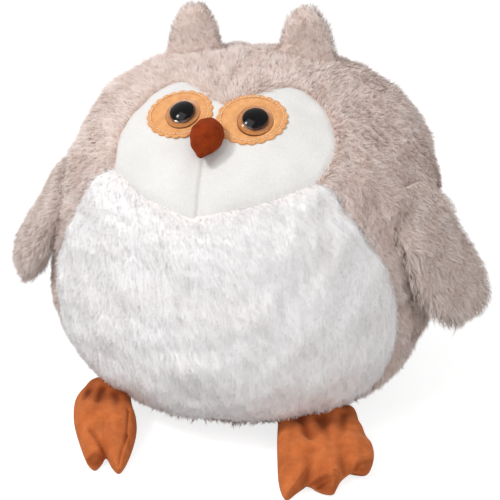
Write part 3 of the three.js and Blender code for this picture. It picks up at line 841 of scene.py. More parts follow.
class Finishes:
    """The owl's finishes, mixed once."""

    def __init__(self) -> None:
        """Mixes them."""
        self.taupe = PlushFinish("taupe_plush", "#c8b0a4", "#ecd8cf", "#fbeee7", "#d6beb4").make()
        self.wing = PlushFinish("wing_plush", "#c5aea2", "#e8d6cd", "#f8ebe4", "#d3bfb5").make()
        self.white = PlushFinish("white_plush", "#efeae9", "#fdfafa", "#ffffff", "#f4eded").make()
        self.face = NapFinish("face_plush", "#ebeae8", "#dedcd9", cloud=30, grain=1.0, depth=0.35, sheen=0.15,
                              roughness=0.95, stretch=(1, 1, 0.1), crease="#b9b2ae").make()
        self.suede = NapFinish("patch_suede", "#f0b47c", "#d6935a", cloud=5, grain=0.5, depth=0.2, sheen=0.3,
                               roughness=0.95, tint="#ffd9b0").make()
        self.thread = NapFinish("patch_thread", "#fbe8c8", "#eccb98", cloud=2, grain=0.3, depth=0.05,
                                sheen=0.2, roughness=0.8).make()
        self.foot = NapFinish("foot_velour", "#db7d44", "#b2592b", cloud=9, grain=0.55, depth=0.35, sheen=0.4,
                              roughness=0.9, tint="#ffb07a", crease="#742f0e").make()
        self.beak = NapFinish("beak_velour", "#9c3a07", "#6a2002", cloud=7, grain=0.5, depth=0.3, sheen=0.08,
                              roughness=0.9, tint="#ff9a5a").make()
        self.pupil = PlasticFinish("eye_black", "#030203", 0.04, gloss=0.17).make()
        self.lens = PlasticFinish("eye_clear", "#ffffff", 0.04, see_through=1.0, bend=1.35).make()
        self.nylon = PlasticFinish("washer_nylon", "#e9e6df", 0.4).make()


@dataclass
class Look:
    """A piece's body, slot, nodes, finish and share of stuffing."""

    body: str
    slot: str
    nodes: tuple
    material: bpy.types.Material
    fill: Optional[float] = None


def show(name: str, cloth: Cloth, look: Look) -> None:
    """Puts a piece in the scene.

    Args:
        name: the piece's name.
        cloth: what it is made of.
        look: its body, the nodes that it hides and its finish.
    """
    mesh = cloth.mesh(name)
    mesh.materials.append(look.material)
    piece = bpy.data.objects.new(name, mesh)
    bpy.context.scene.collection.objects.link(piece)
    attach(piece, look.body)
    if look.nodes:
        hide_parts(*look.nodes)
    log.info("%s: %d faces", name, len(mesh.polygons))


# The body's own form


@dataclass
class BodyForm:
    """The squashed ball that all panels are cut from."""

    half_width: float = 149
    half_depth: float = 139
    half_height: float = 128
    crown_fullness: float = 2.42
    base_fullness: float = 3.4
    lean_back: float = 25
    lean_ease: float = 0.5
    rest_depth: float = 0.5

    @property
    def centre(self) -> Array:
        """The middle of the ball."""
        return np.array([0, self.lean_back * (1 - self.lean_ease), self.half_height - self.rest_depth])

    def point(self, turn: Array, rise: Array, depth: Union[float, Array]) -> Array:
        """Points of the body.

        Args:
            turn: radians round from the front.
            rise: radians up from the middle.
            depth: mm under the tips of the pile.

        Returns:
            Points in mm, one for each direction.
        """
        turn, rise, depth = np.broadcast_arrays(turn, rise, depth)
        level = np.sin(rise)
        fullness = np.where(level < 0, self.base_fullness, self.crown_fullness)
        ring = np.maximum(1 - np.abs(level) ** fullness, 0) ** (1 / fullness)
        ease = np.where(level < 0, 1 - self.lean_ease * level * level, 1)
        lean = self.lean_back * level * ease * (1 - depth / self.half_height)
        return np.stack([
            (self.half_width - depth) * ring * np.sin(turn),
            -(self.half_depth - depth) * ring * np.cos(turn) + lean,
            (self.half_height - depth) * level,
        ], -1) + self.centre

    def axes(self, turn: float, rise: float, depth: Optional[Callable] = None) -> tuple:
        """Origin and axes on the surface.

        Args:
            turn: radians round from the front.
            rise: radians up from the middle.
            depth: gives the depth for a turn and a rise.

        Returns:
            The place, and unit vectors round it, up it and out of it.
        """
        step = math.radians(0.5)
        deep = depth or (lambda t, r: 0.0)
        at = lambda t, r: self.point(np.array(t), np.array(r), deep(np.array(t), np.array(r)))
        across = at(turn + step, rise) - at(turn - step, rise)
        upward = at(turn, rise + step) - at(turn, rise - step)
        z = unit(np.cross(across, upward))
        x = unit(across - z * np.dot(across, z))
        return at(turn, rise), x, np.cross(z, x), z

    def gap(self, line: Array, line_depth: float, turn: Array, rise: Array,
            depth: Union[float, Array]) -> Array:
        """Distance in mm from places on the body to a closed outline.

        Args:
            line: the outline's turns and rises in radians.
            line_depth: how deep it lies.
            turn: radians round from the front, of each place.
            rise: radians up from the middle.
            depth: how deep the places lie.

        Returns:
            One distance for each place.
        """
        edge = self.point(line[:, 0], line[:, 1], line_depth)
        return gap_to(edge, self.point(turn, rise, depth).reshape(-1, 3)).reshape(turn.shape)


@dataclass
class Seams:
    """Where the panels meet, as angles in degrees round from the front and up from the middle."""

    heart: tuple = (
        (0, 0.69), (0.24, 0.85), (0.51, 0.96), (0.73, 1), (0.9, 0.9), (0.98, 0.69), (1, 0.42), (0.98, 0.15),
        (0.92, -0.13), (0.78, -0.44), (0.61, -0.58), (0.3, -0.75), (0, -0.93),
    )
    heart_middle: float = 42
    heart_span: float = 41
    heart_rise: float = 26
    heart_wider: float = 1.095
    chin_aside: float = 2.2
    chin_levels: tuple = (40, 20)
    belly: tuple = (
        (0, 0.87), (0.52, 0.99), (0.68, 0.74), (0.84, 0.41), (0.95, 0.13), (1, -0.18), (0.99, -0.5),
        (0.93, -0.82), (0.8, -0.98), (0, -1.04),
    )
    belly_middle: float = -15
    belly_span: float = 62
    belly_rise: float = 46
    base: float = -60
    shoulder_front: float = 31
    shoulder_back: float = 16
    shoulder_drop: float = 0.8

    def outline(self, half: Sequence, span: float, middle: float, rise: float) -> Array:
        """A closed outline in radians from one half of it.

        Args:
            half: its points from top to bottom, as shares of span and rise.
            span: half its width in degrees.
            middle: height of its middle in degrees.
            rise: half its height in degrees.

        Returns:
            Turns and rises along it.
        """
        line = curve_through(half, 8)
        left = np.stack([-span * line[:, 0], middle + rise * line[:, 1]], -1)
        right = left[-2:0:-1] * np.array([-1, 1])
        return np.radians(np.concatenate([left, right]))

    @property
    def heart_line(self) -> Array:
        """The face's outline, wider on the owl's left and with its chin a little to one side.

        Returns:
            Turns and rises along it, in radians.
        """
        line = self.outline(self.heart, self.heart_span, self.heart_middle, self.heart_rise)
        line[:, 0] *= np.where(line[:, 0] > 0, self.heart_wider, 1)
        high, low = np.radians(self.chin_levels)
        line[:, 0] -= math.radians(self.chin_aside) * smooth(high, low, line[:, 1])
        return line

    @property
    def belly_line(self) -> Array:
        """The belly's outline."""
        return self.outline(self.belly, self.belly_span, self.belly_middle, self.belly_rise)

    def shoulder(self, turn: Array) -> Array:
        """Height of the shoulder seam in radians."""
        drop = np.abs(np.sin(np.abs(turn) / 2)) ** self.shoulder_drop
        return np.radians(self.shoulder_front + (self.shoulder_back - self.shoulder_front) * drop)


@dataclass
class Trunk:
    """The stuffed body: belly, base, crown and back.

    Each bulge has a turn, a rise, a height in mm, negative for a hollow, and a spread in degrees.
    """

    form: BodyForm
    seams: Seams
    finishes: Finishes
    skin_depth: float = 3.9
    columns: int = 420
    rows: int = 230
    pole_gap: float = 1e-4
    clump: float = 0.6
    face_calm: float = 0.7
    curl_depth: float = 6.0
    curl_reach: float = 8.0
    hem: float = 3.0
    face_margin: float = 12.0
    face_margin_share: float = 1.25
    belly_raise: float = 1.4
    belly_raise_reach: float = 6
    seam_groove: float = 1.5
    seam_width: float = 2.2
    crown_groove: float = 2.2
    crown_from: tuple = (58, 66)
    back_groove: float = 2.0
    middle_width: float = 2.5
    bulges: tuple = ((-76, 60, 4.0, 15), (-76, 28, -4.0, 16), (-76, -24, 4.0, 14), (104, 46, 2.0, 18))
    brow: float = 40
    brow_reach: float = 60
    brow_ease: float = 70
    brow_push: float = 1.2
    down_push: float = 1.15
    belly_part: float = 0.0012
    base_behind: float = 30
    fill: float = 0.85
    taupe_pile: Pile = Pile()
    white_pile: Pile = Pile(length=3.4, lean=62, strands=3, width=0.13, swirl=12, lock_swirl=14,
                            tone_spread=0.06, length_spread=0.15, tilt=0.06)
    base_pile: Pile = Pile(strands=2, width=0.3)

    def grid(self) -> tuple:
        """The skin's turns, rises, distances inside the face's outline, and grid.

        Returns:
            Turns and rises in radians, distances in mm, and the grid.
        """
        turn = np.linspace(-math.pi, math.pi, self.columns, endpoint=False)
        climb = np.linspace(-math.pi / 2 + self.pole_gap, math.pi / 2 - self.pole_gap, self.rows)
        fullness = np.where(climb < 0, self.form.base_fullness, self.form.crown_fullness)
        rise = np.arcsin(np.sign(climb) * np.abs(np.sin(climb)) ** (2 / fullness))
        turns, rises = np.meshgrid(turn, rise)
        gap = self.face_gap(turns, rises)
        curl = self.curl_depth * smooth(0, self.curl_reach, gap)
        quilt = Quilt(self.form.point(turns, rises, self.skin_depth + curl - self.stuffing(turns, rises)))
        streaky = quilt.points * np.array([1, 1, 0.4])
        tufts = ripple(streaky, 6, 91) + 0.8 * ripple(streaky, 11, 92) + 1.6 * ripple(quilt.points, 40, 93)
        calm = 1 - self.face_calm * smooth(-4, 1, gap)
        quilt.points = quilt.points + quilt.normals * (self.clump * tufts * calm)[..., None]
        return turns, rises, gap, quilt

    def stuffing(self, turn: Array, rise: Array) -> Array:
        """How far the skin is pushed out by uneven stuffing and the fuller belly, in mm.

        Args:
            turn: radians round from the front.
            rise: radians up from the middle.

        Returns:
            The height, negative in seams and in hollows.
        """
        total = np.zeros(turn.shape)
        for aside, up, high, spread in self.bulges:
            away = (turn - math.radians(aside)) ** 2 + (rise - math.radians(up)) ** 2
            total += high * np.exp(-away / math.radians(spread) ** 2)
        line = self.seams.belly_line
        gap = self.form.gap(line, self.skin_depth, turn, rise, self.skin_depth)
        across = turn * self.form.half_width * np.cos(rise)
        behind = (math.pi - np.abs(turn)) * self.form.half_width * np.cos(rise)
        crown = smooth(*np.radians(self.crown_from), rise)
        total -= self.crown_groove * crown * bell(across, self.middle_width)
        total -= self.back_groove * (1 - crown) * bell(behind, self.middle_width)
        raised = self.belly_raise * smooth(0, self.belly_raise_reach, gap) * inside(line, turn, rise)
        return total + raised - self.seam_groove * bell(gap, self.seam_width)

    def face_gap(self, turn: Array, rise: Array) -> Array:
        """How far inside the face's outline directions lie, in mm.

        Args:
            turn: radians round from the front.
            rise: radians up from the middle.

        Returns:
            The distance, negative outside and left at the margin far from the face.
        """
        line = self.seams.heart_line
        middle = line.mean(0)
        within = inside(line, turn, rise)
        near = within | inside((line - middle) * self.face_margin_share + middle, turn, rise)
        gap = np.full(turn.shape, -self.face_margin)
        away = self.form.gap(line, self.skin_depth, turn[near], rise[near], self.skin_depth)
        gap[near] = away * np.where(within[near], 1, -1)
        return gap

    def panels(self, turn: Array, rise: Array, tucked: float) -> Array:
        """Which panel each direction belongs to.

        Args:
            turn: radians round from the front.
            rise: radians up from the middle.
            tucked: how far the panels reach in under the face, in mm.

        Returns:
            The panels' names, with face for what the face covers.
        """
        name = np.where(rise > self.seams.shoulder(turn), "head", "back")
        name = np.char.add(name, np.where(turn >= 0, "_panel_left", "_panel_right"))
        name = np.where(inside(self.seams.belly_line, turn, rise), "belly_panel", name)
        name = np.where(rise < math.radians(self.seams.base), "base_panel", name)
        return np.where(self.face_gap(turn, rise) > tucked, "face", name)

    def comb(self, place: Array, name: Array) -> Array:
        """Which way the pile is brushed: down the belly, and away from the brow round the face.

        Args:
            place: where the pile grows, in mm.
            name: the panel that it grows on.

        Returns:
            One direction for each place.
        """
        down = np.array([0, 0, -1.0])
        away = place - self.form.point(np.array(0.0), np.array(math.radians(self.brow)), 0.0)
        distance = np.linalg.norm(away, axis=1, keepdims=True)
        near = np.exp(-np.maximum(distance - self.brow_reach, 0) / self.brow_ease)
        flow = unit(away) * near * self.brow_push + down * (self.down_push - near)
        parted = down + place * np.array([self.belly_part, 0, 0])
        flow = np.where((name == "belly_panel")[:, None], parted, flow)
        outward = place * np.array([1, 1, 0]) + np.array([0, self.base_behind, 0])
        return np.where((name == "base_panel")[:, None], outward, flow)

    def sew(self) -> None:
        """Builds the panels with their pile and shows them."""
        rng = np.random.default_rng(11)
        turns, rises, gap, quilt = self.grid()
        rows, columns = turns.shape
        face_turn = np.broadcast_to(turns[0] + math.pi / columns, (rows - 1, columns)).reshape(-1)
        face_rise = np.repeat((rises[:-1, 0] + rises[1:, 0]) / 2, columns)
        panel = self.panels(face_turn, face_rise, self.curl_reach)
        cloths = {str(name): Cloth() for name in np.unique(panel) if name != "face"}
        # Painted shade: the skin darkens toward the deep pile colour near the face's edge, where it curls in
        # under the face
        tone = SKIN_TONE - 0.65 * smooth(-5, 1, gap)
        for name, cloth in cloths.items():
            cloth.add_grid(quilt, panel == name, tone, GROUND_SHARE)
        place, normal, row, column = quilt.scatter(self.taupe_pile.spacing, rng)
        turn = TURN * column / columns - math.pi
        rise = np.interp(row, np.arange(rows), rises[:, 0])
        name = self.panels(turn, rise, self.hem)
        comb = self.comb(place, name)
        taupe = ("head_panel_left", "head_panel_right", "back_panel_left", "back_panel_right")
        for pile, wanted in ((self.white_pile, ("belly_panel",)), (self.base_pile, ("base_panel",)),
                             (self.taupe_pile, taupe)):
            keep = np.isin(name, wanted)
            locks = pile.locks(place[keep], normal[keep], comb[keep], rng, 5)
            for one in wanted:
                pile.grow(cloths[one], locks.only(name[keep] == one), rng)
        for name, cloth in cloths.items():
            white = name == "belly_panel"
            look = Look("body", "white_plush" if white else "taupe_plush",
                        (name, "body_filling") if name == "base_panel" else (name,),
                        self.finishes.white if white else self.finishes.taupe, self.fill)
            show(name.replace("panel", "plush"), cloth, look)


@dataclass
class Face:
    """The sunk heart of short pile, with cheeks, a middle seam and a dip for beak and eyes.

    The socket and the cheek have a height in mm and then angles in degrees: the socket's rise and how
    wide and high it is, the cheek's rise, how far it lies to the side and how wide it is.
    """

    form: BodyForm
    seams: Seams
    finishes: Finishes
    recess: float = 4.5
    socket: tuple = (5.0, 43.0, 20.0, 12.0)
    cheek: tuple = (3.0, 29.0, 16.0, 11.0)
    columns: int = 150
    rows: int = 120
    overlap: float = 7.0
    beyond: tuple = (1.08, 1.12)
    seam_slant: tuple = (-6.0, -3.4)
    slant_levels: tuple = (44, 18)
    seam_levels: tuple = (46, 38)
    seam_groove: float = 1.5
    seam_width: float = 1.3
    seam_hollow: float = 1.6
    hollow_width: float = 7
    edge_tuck: float = 1.6
    edge_levels: tuple = (-1, 8)
    rim_tuck: float = 1.2
    rim_levels: tuple = (-6, 0)
    wrinkle: float = 0.35
    wrinkle_size: float = 26
    # Painted shade along the middle seam and at the tucked edge
    line_dark: float = 0.22
    line_width: float = 0.9
    edge_dark: float = 0.3
    edge_fade: float = 2.5

    def cad_depth(self, turn: Array, rise: Array) -> Array:
        """How deep the plain face lies.

        Args:
            turn: radians round from the front.
            rise: radians up from the middle.

        Returns:
            The depth in mm, for each direction.
        """
        deep, at, span, high = self.socket
        dip = np.exp(-(turn / math.radians(span)) ** 2
                     - ((rise - math.radians(at)) / math.radians(high)) ** 2)
        swell, up, aside, wide = self.cheek
        full = np.exp(-((np.abs(turn) - math.radians(aside)) / math.radians(wide)) ** 2
                      - ((rise - math.radians(up)) / math.radians(wide)) ** 2)
        return self.recess + deep * dip - swell * full

    def depth(self, turn: Array, rise: Array) -> Array:
        """How deep the face lies, with its seam and tucked edge.

        Args:
            turn: radians round from the front.
            rise: radians up from the middle.

        Returns:
            The depth in mm, for each direction.
        """
        plain = self.cad_depth(turn, rise)
        gap = self.gap(turn, rise, plain)
        tuck = (self.edge_tuck * (1 - smooth(*self.edge_levels, gap))
                + self.rim_tuck * (1 - smooth(*self.rim_levels, gap)))
        across, low = self.middle_seam(turn, rise)
        seam = (self.seam_groove * bell(across, self.seam_width)
                + self.seam_hollow * bell(across, self.hollow_width)) * low
        wrinkles = self.wrinkle * ripple(self.form.point(turn, rise, plain), self.wrinkle_size, 31)
        return plain + tuck + seam + wrinkles

    def tone(self, turn: Array, rise: Array) -> Array:
        """Painted shade: darker along the middle seam and where the face is tucked under.

        Args:
            turn: radians round from the front.
            rise: radians up from the middle.

        Returns:
            One tone for each direction.
        """
        across, low = self.middle_seam(turn, rise)
        gap = np.maximum(self.gap(turn, rise, self.recess), 0)
        line = self.line_dark * low * bell(across, self.line_width)
        return UNSHADED_TONE - line - self.edge_dark * np.exp(-gap / self.edge_fade)

    def gap(self, turn: Array, rise: Array, depth: Union[float, Array]) -> Array:
        """How far inside the face's outline places lie, in mm, negative outside.

        Args:
            turn: radians round from the front.
            rise: radians up from the middle.
            depth: how deep the places lie, in mm.

        Returns:
            One distance for each place.
        """
        line = self.seams.heart_line
        gap = self.form.gap(line, self.recess, turn, rise, depth)
        return np.where(inside(line, turn, rise), gap, -gap)

    def middle_seam(self, turn: Array, rise: Array) -> tuple:
        """Distance from the middle seam in mm, and how much of the seam there is at that level."""
        across = turn * (self.form.half_width * np.cos(rise)) - self.slant(rise)
        return across, smooth(*np.radians(self.seam_levels), rise)

    def slant(self, rise: Array) -> Array:
        """How far the middle seam lies to the owl's left, in mm."""
        top, bottom = self.seam_slant
        return top + (bottom - top) * smooth(*np.radians(self.slant_levels), rise)

    def sew(self) -> None:
        """Builds the two halves and shows them."""
        seams = self.seams
        span, middle, high = np.radians([seams.heart_span, seams.heart_middle, seams.heart_rise])
        aside, above = self.beyond
        for side in Side:
            reach = span * aside * (seams.heart_wider if side is Side.LEFT else 1)
            turns, rises = np.meshgrid(np.linspace(0, reach, self.columns),
                                       np.linspace(middle - high, middle + high * above, self.rows))
            shift = self.slant(rises) / (self.form.half_width * np.cos(rises)) * (1 - turns / reach) ** 2
            turns = turns * side.value + shift
            centre_turn = (turns[:-1, :-1] + turns[1:, 1:]) / 2
            centre_rise = (rises[:-1, :-1] + rises[1:, 1:]) / 2
            points = self.form.point(turns, rises, self.depth(turns, rises))
            keep = self.gap(centre_turn, centre_rise, self.recess) > -self.overlap
            tone = self.tone(turns, rises)
            if side is Side.RIGHT:
                points, keep, tone = points[:, ::-1], keep[:, ::-1], tone[:, ::-1]
            cloth = Cloth()
            cloth.add_grid(Quilt(points, False), keep.reshape(-1), tone)
            show(f"face_plush_{side.word}", cloth,
                 Look("body", "face_plush", (f"face_panel_{side.word}",), self.finishes.face, 0.8))


# The limbs


@dataclass(frozen=True)
class Limb:
    """A stuffed limb of two plush panels, lofted through sections, root first.

    Each section has its place along the limb and its width and thickness, all as shares. The first
    panel also stands for the filling.
    """

    name: str
    panels: tuple
    slot: str
    fill: float
    length: float
    half_width: float
    half_thickness: float
    shares: tuple
    pile: Pile
    fullness: float = 2.3
    columns: int = 56
    cap_rings: int = 6

    def quilt(self, station: Callable[[float, float], tuple], inset: float) -> Quilt:
        """The limb's skin.

        Args:
            station: gives origin, x, y and direction for a share of the length and an inset.
            inset: how far inside the tips of the pile it lies, in mm.

        Returns:
            The skin, from root to tip.
        """
        line = curve_through(self.shares, 6)
        end, end_wide, end_thick = line[-1]
        cap = []
        for angle in np.linspace(0, math.pi / 2, self.cap_rings + 2)[1:-1]:
            small = math.cos(angle) ** 0.7
            cap.append((end + (1.0 - end) * math.sin(angle) * 0.999, end_wide * small, end_thick * small))
        rings = []
        for share, wide, thick in list(line) + cap:
            origin, x, y, _ = station(share, inset)
            half = ((self.half_width - inset) * wide, (self.half_thickness - inset) * thick)
            rings.append(oval(origin, (x, y), half, self.fullness, self.columns))
        return Quilt(np.array(rings))

    def sew(self, side: Side, quilt: Quilt, locks: Locks, column: Array, material: bpy.types.Material,
            rng: np.random.Generator) -> None:
        """Grows the pile on the two panels and shows them.

        Args:
            side: the owl's side that it is for.
            quilt: the skin, made for the left side.
            locks: the pile's locks.
            column: which column of the skin each lock grows at.
            material: the plush.
            rng: source of chance.
        """
        seam = self.columns // 2
        columns = np.tile(np.arange(self.columns), len(quilt.points) - 1)
        for panel in self.panels:
            first = panel == self.panels[0]
            cloth = Cloth()
            cloth.add_grid(quilt, (columns < seam) == first, SKIN_TONE, GROUND_SHARE)
            self.pile.grow(cloth, locks.only((column < seam) == first), rng)
            cloth.flip(side)
            filling = (f"{self.name}_filling_{side.word}",) if first else ()
            show(f"{self.name}_{panel}_plush_{side.word}", cloth,
                 Look(f"{self.name}_{side.word}", self.slot, (f"{self.name}_{panel}_{side.word}", *filling),
                      material, self.fill))


WING_SHARES = (
    (-0.2, 0.26, 0.1), (-0.13, 0.46, 0.2), (-0.06, 0.64, 0.34), (0.03, 0.79, 0.5), (0.15, 0.9, 0.68),
    (0.3, 0.97, 0.84), (0.5, 0.99, 0.95), (0.66, 0.96, 0.97), (0.8, 0.86, 0.86), (0.91, 0.68, 0.66),
    (0.97, 0.46, 0.42),
)
EAR_SHARES = (
    (-0.3, 1.28, 1.4), (-0.12, 1.16, 1.25), (0.08, 1.04, 1.1), (0.3, 0.96, 1.03), (0.55, 0.82, 1),
    (0.8, 0.58, 0.78), (0.93, 0.38, 0.5),
)
WING = Limb("wing", ("outer", "lining"), "wing_plush", 0.7, 90, 36.5, 10.5, WING_SHARES,
            Pile(length=6.6, lean=62, swirl=16, lock_swirl=14))
EAR = Limb("ear", ("back", "front"), "taupe_plush", 0.6, 32, 21, 9, EAR_SHARES,
           Pile(length=5.6, lean=58, swirl=46, lock_swirl=26, spacing=1.7, tone_spread=0.4), columns=40)


@dataclass
class Wings:
    """Two thick mitts of plush sewn into the shoulder seams."""

    form: BodyForm
    finishes: Finishes
    limb: Limb = WING
    side_angle: float = 68
    rise_angle: float = 16
    seam_out: float = 1.5
    slant: float = 6.5
    sweep: float = 8
    twist: float = 15
    trail: float = 8.0
    skin: float = 3.2
    drops: dict = by_side(3.0, 5.5)
    root_twists: dict = by_side(15.0, 7.0)
    edge_longer: float = 0.7

    def seat(self) -> tuple:
        """Where the wing is sewn on, with its axes."""
        origin, x, y, z = self.form.axes(math.radians(self.side_angle), math.radians(self.rise_angle))
        return origin + z * self.seam_out, x, y, z

    def station(self, side: Side, share: float, inset: float) -> tuple:
        """A section's place and axes along a wing, as on the left side.

        Args:
            side: the owl's side that the wing is for.
            share: share of the wing's length.
            inset: how far inside the tips of the pile it lies, in mm.

        Returns:
            The place, and unit vectors across, through and along the wing.
        """
        origin, x, y, z = self.seat()
        down = turned_about(-y, x, -math.radians(self.slant))
        down = turned_about(down, z, math.radians(self.sweep))
        laid_in = self.root_twists[side] * (1 - float(smooth(0.0, 0.3, share)))
        twist = math.radians(self.twist * min(max(share, 0), 1) + laid_in)
        origin = origin - z * self.drops[side] * (1 - float(smooth(0.1, 0.95, share)))
        origin = origin + x * self.trail * max(share, 0) ** 2
        return (origin + down * (self.limb.length - inset) * share, turned_about(x, down, twist),
                turned_about(z, down, twist), down)

    def sew(self) -> None:
        """Builds both wings and shows them."""
        for side in Side:
            rng = np.random.default_rng(23)
            station = lambda share, inset: self.station(side, share, inset)
            quilt = self.limb.quilt(station, self.skin)
            down = station(0.5, 0)[3]
            place, normal, row, column = quilt.scatter(self.limb.pile.spacing * 0.92, rng)
            round_it = np.cos(TURN * column / self.limb.columns)
            edge = np.abs(round_it) ** 6 * (round_it < 0)
            along = row / len(quilt.points)
            comb = down - self.seat()[1] * (0.2 * along + 0.5 * edge)[:, None]
            locks = self.limb.pile.locks(place, normal, comb, rng, 41)
            locks.length *= 1 + self.edge_longer * edge
            self.limb.sew(side, quilt, locks, column, self.finishes.wing, rng)


@dataclass
class Ears:
    """Two short tufts sewn across the crown."""

    form: BodyForm
    finishes: Finishes
    limb: Limb = EAR
    out: float = 45
    back: float = 4
    seam_out: float = 3.5
    inward: float = 9
    skin: float = 3.0
    shifts: dict = by_side(-5.0, -1.5)

    def station(self, share: float, inset: float) -> tuple:
        """A section's place and axes along the left ear.

        Args:
            share: share of the ear's length.
            inset: how far inside the tips of the pile it lies, in mm.

        Returns:
            The place, and unit vectors across, through and along the ear.
        """
        turn = math.pi / 2 + math.asin(self.back / self.form.half_depth)
        ring = self.out / (self.form.half_width * math.sin(turn))
        level = (1 - ring ** self.form.crown_fullness) ** (1 / self.form.crown_fullness)
        origin, _, _, z = self.form.axes(turn, math.asin(level))
        x = unit(np.array([1.0, 0, 0]) - z * z[0])
        y = np.cross(z, x)
        way = turned_about(z, y, -math.radians(self.inward))
        return origin + z * self.seam_out + way * (self.limb.length - inset) * share, x, y, way

    def sew(self) -> None:
        """Builds both ears and shows them."""
        for side in Side:
            rng = np.random.default_rng(37 + side.value)
            quilt = self.limb.quilt(self.station, self.skin)
            quilt.points = quilt.points + np.array([self.shifts[side] * side.value, 0, 0])
            place, normal, _, column = quilt.scatter(self.limb.pile.spacing, rng)
            way = np.broadcast_to(self.station(0.5, 0)[3], normal.shape)
            locks = self.limb.pile.locks(place, normal, way, rng, 53 + side.value)
            self.limb.sew(side, quilt, locks, column, self.finishes.taupe, rng)


@dataclass
class FootShape:
    """How one foot lies: its outline and folds in mm, aside and ahead of the ankle.

    Each groove runs between two places with a depth and a width. Each turned edge runs between two
    places, and the velour beyond it lies lower by a drop.
    """

    length: float
    toe_in: float
    seed: int
    outline: tuple
    grooves: tuple
    turned_edges: tuple


RIGHT_FOOT = FootShape(
    73, 52, 67,
    ((13, -16), (14.5, 1), (17.5, 15), (21.5, 28), (23, 42), (21.5, 58), (18.3, 72), (14.6, 78), (9.5, 73),
     (4.3, 64), (1.5, 70.5), (-2, 75), (-6.5, 71.5), (-10.5, 64), (-17, 48), (-22, 33), (-24.5, 18), (-24, 6),
     (-20, -4), (-12, -15)),
    ((16.2, 26, 17.6, 50, 2.2, 0.9), (17.6, 50, 14.8, 76, 2.2, 0.9), (4.5, 66, -7.5, 48, 3.6, 1.8),
     (-5, 2, -7, 20, 3.0, 2.4), (-15, 3, -17, 15, 2.4, 2.0), (5, 8, 9, 28, 2.2, 3.0)),
    ((-9, 67.5, 4.5, 65.5, 2.2),),
)
LEFT_FOOT = FootShape(
    68, 19, 61,
    ((26, -14), (29.5, 3), (32, 20), (33.8, 38), (34.8, 52), (34.2, 62), (31.8, 68), (26.9, 64.3), (21, 60),
     (17.5, 57.5), (14.2, 58.8), (10.9, 62), (6, 64.8), (0.5, 65.4), (-2.6, 61), (-6.1, 55.4), (-10.8, 51),
     (-14.8, 48.6), (-19.8, 50), (-25, 50.3), (-29.4, 43.5), (-32.2, 34.8), (-32, 26), (-29.8, 17), (-28, 6),
     (-21, -14)),
    ((14, 6, 11, 26, 3.2, 2.8), (1, 6, -2, 27, 4.0, 3.6), (-16, 2, -13, 24, 3.4, 3.2),
     (16.5, 58, 12, 38, 3.2, 3.4), (12, 62, -3, 58.6, 1.4, 0.8), (-9, 52, -8, 36, 2.2, 3.0)),
    ((18.5, 58, -6.5, 55, 3.2), (-12.6, 50, -29.5, 40, 3.6)),
)


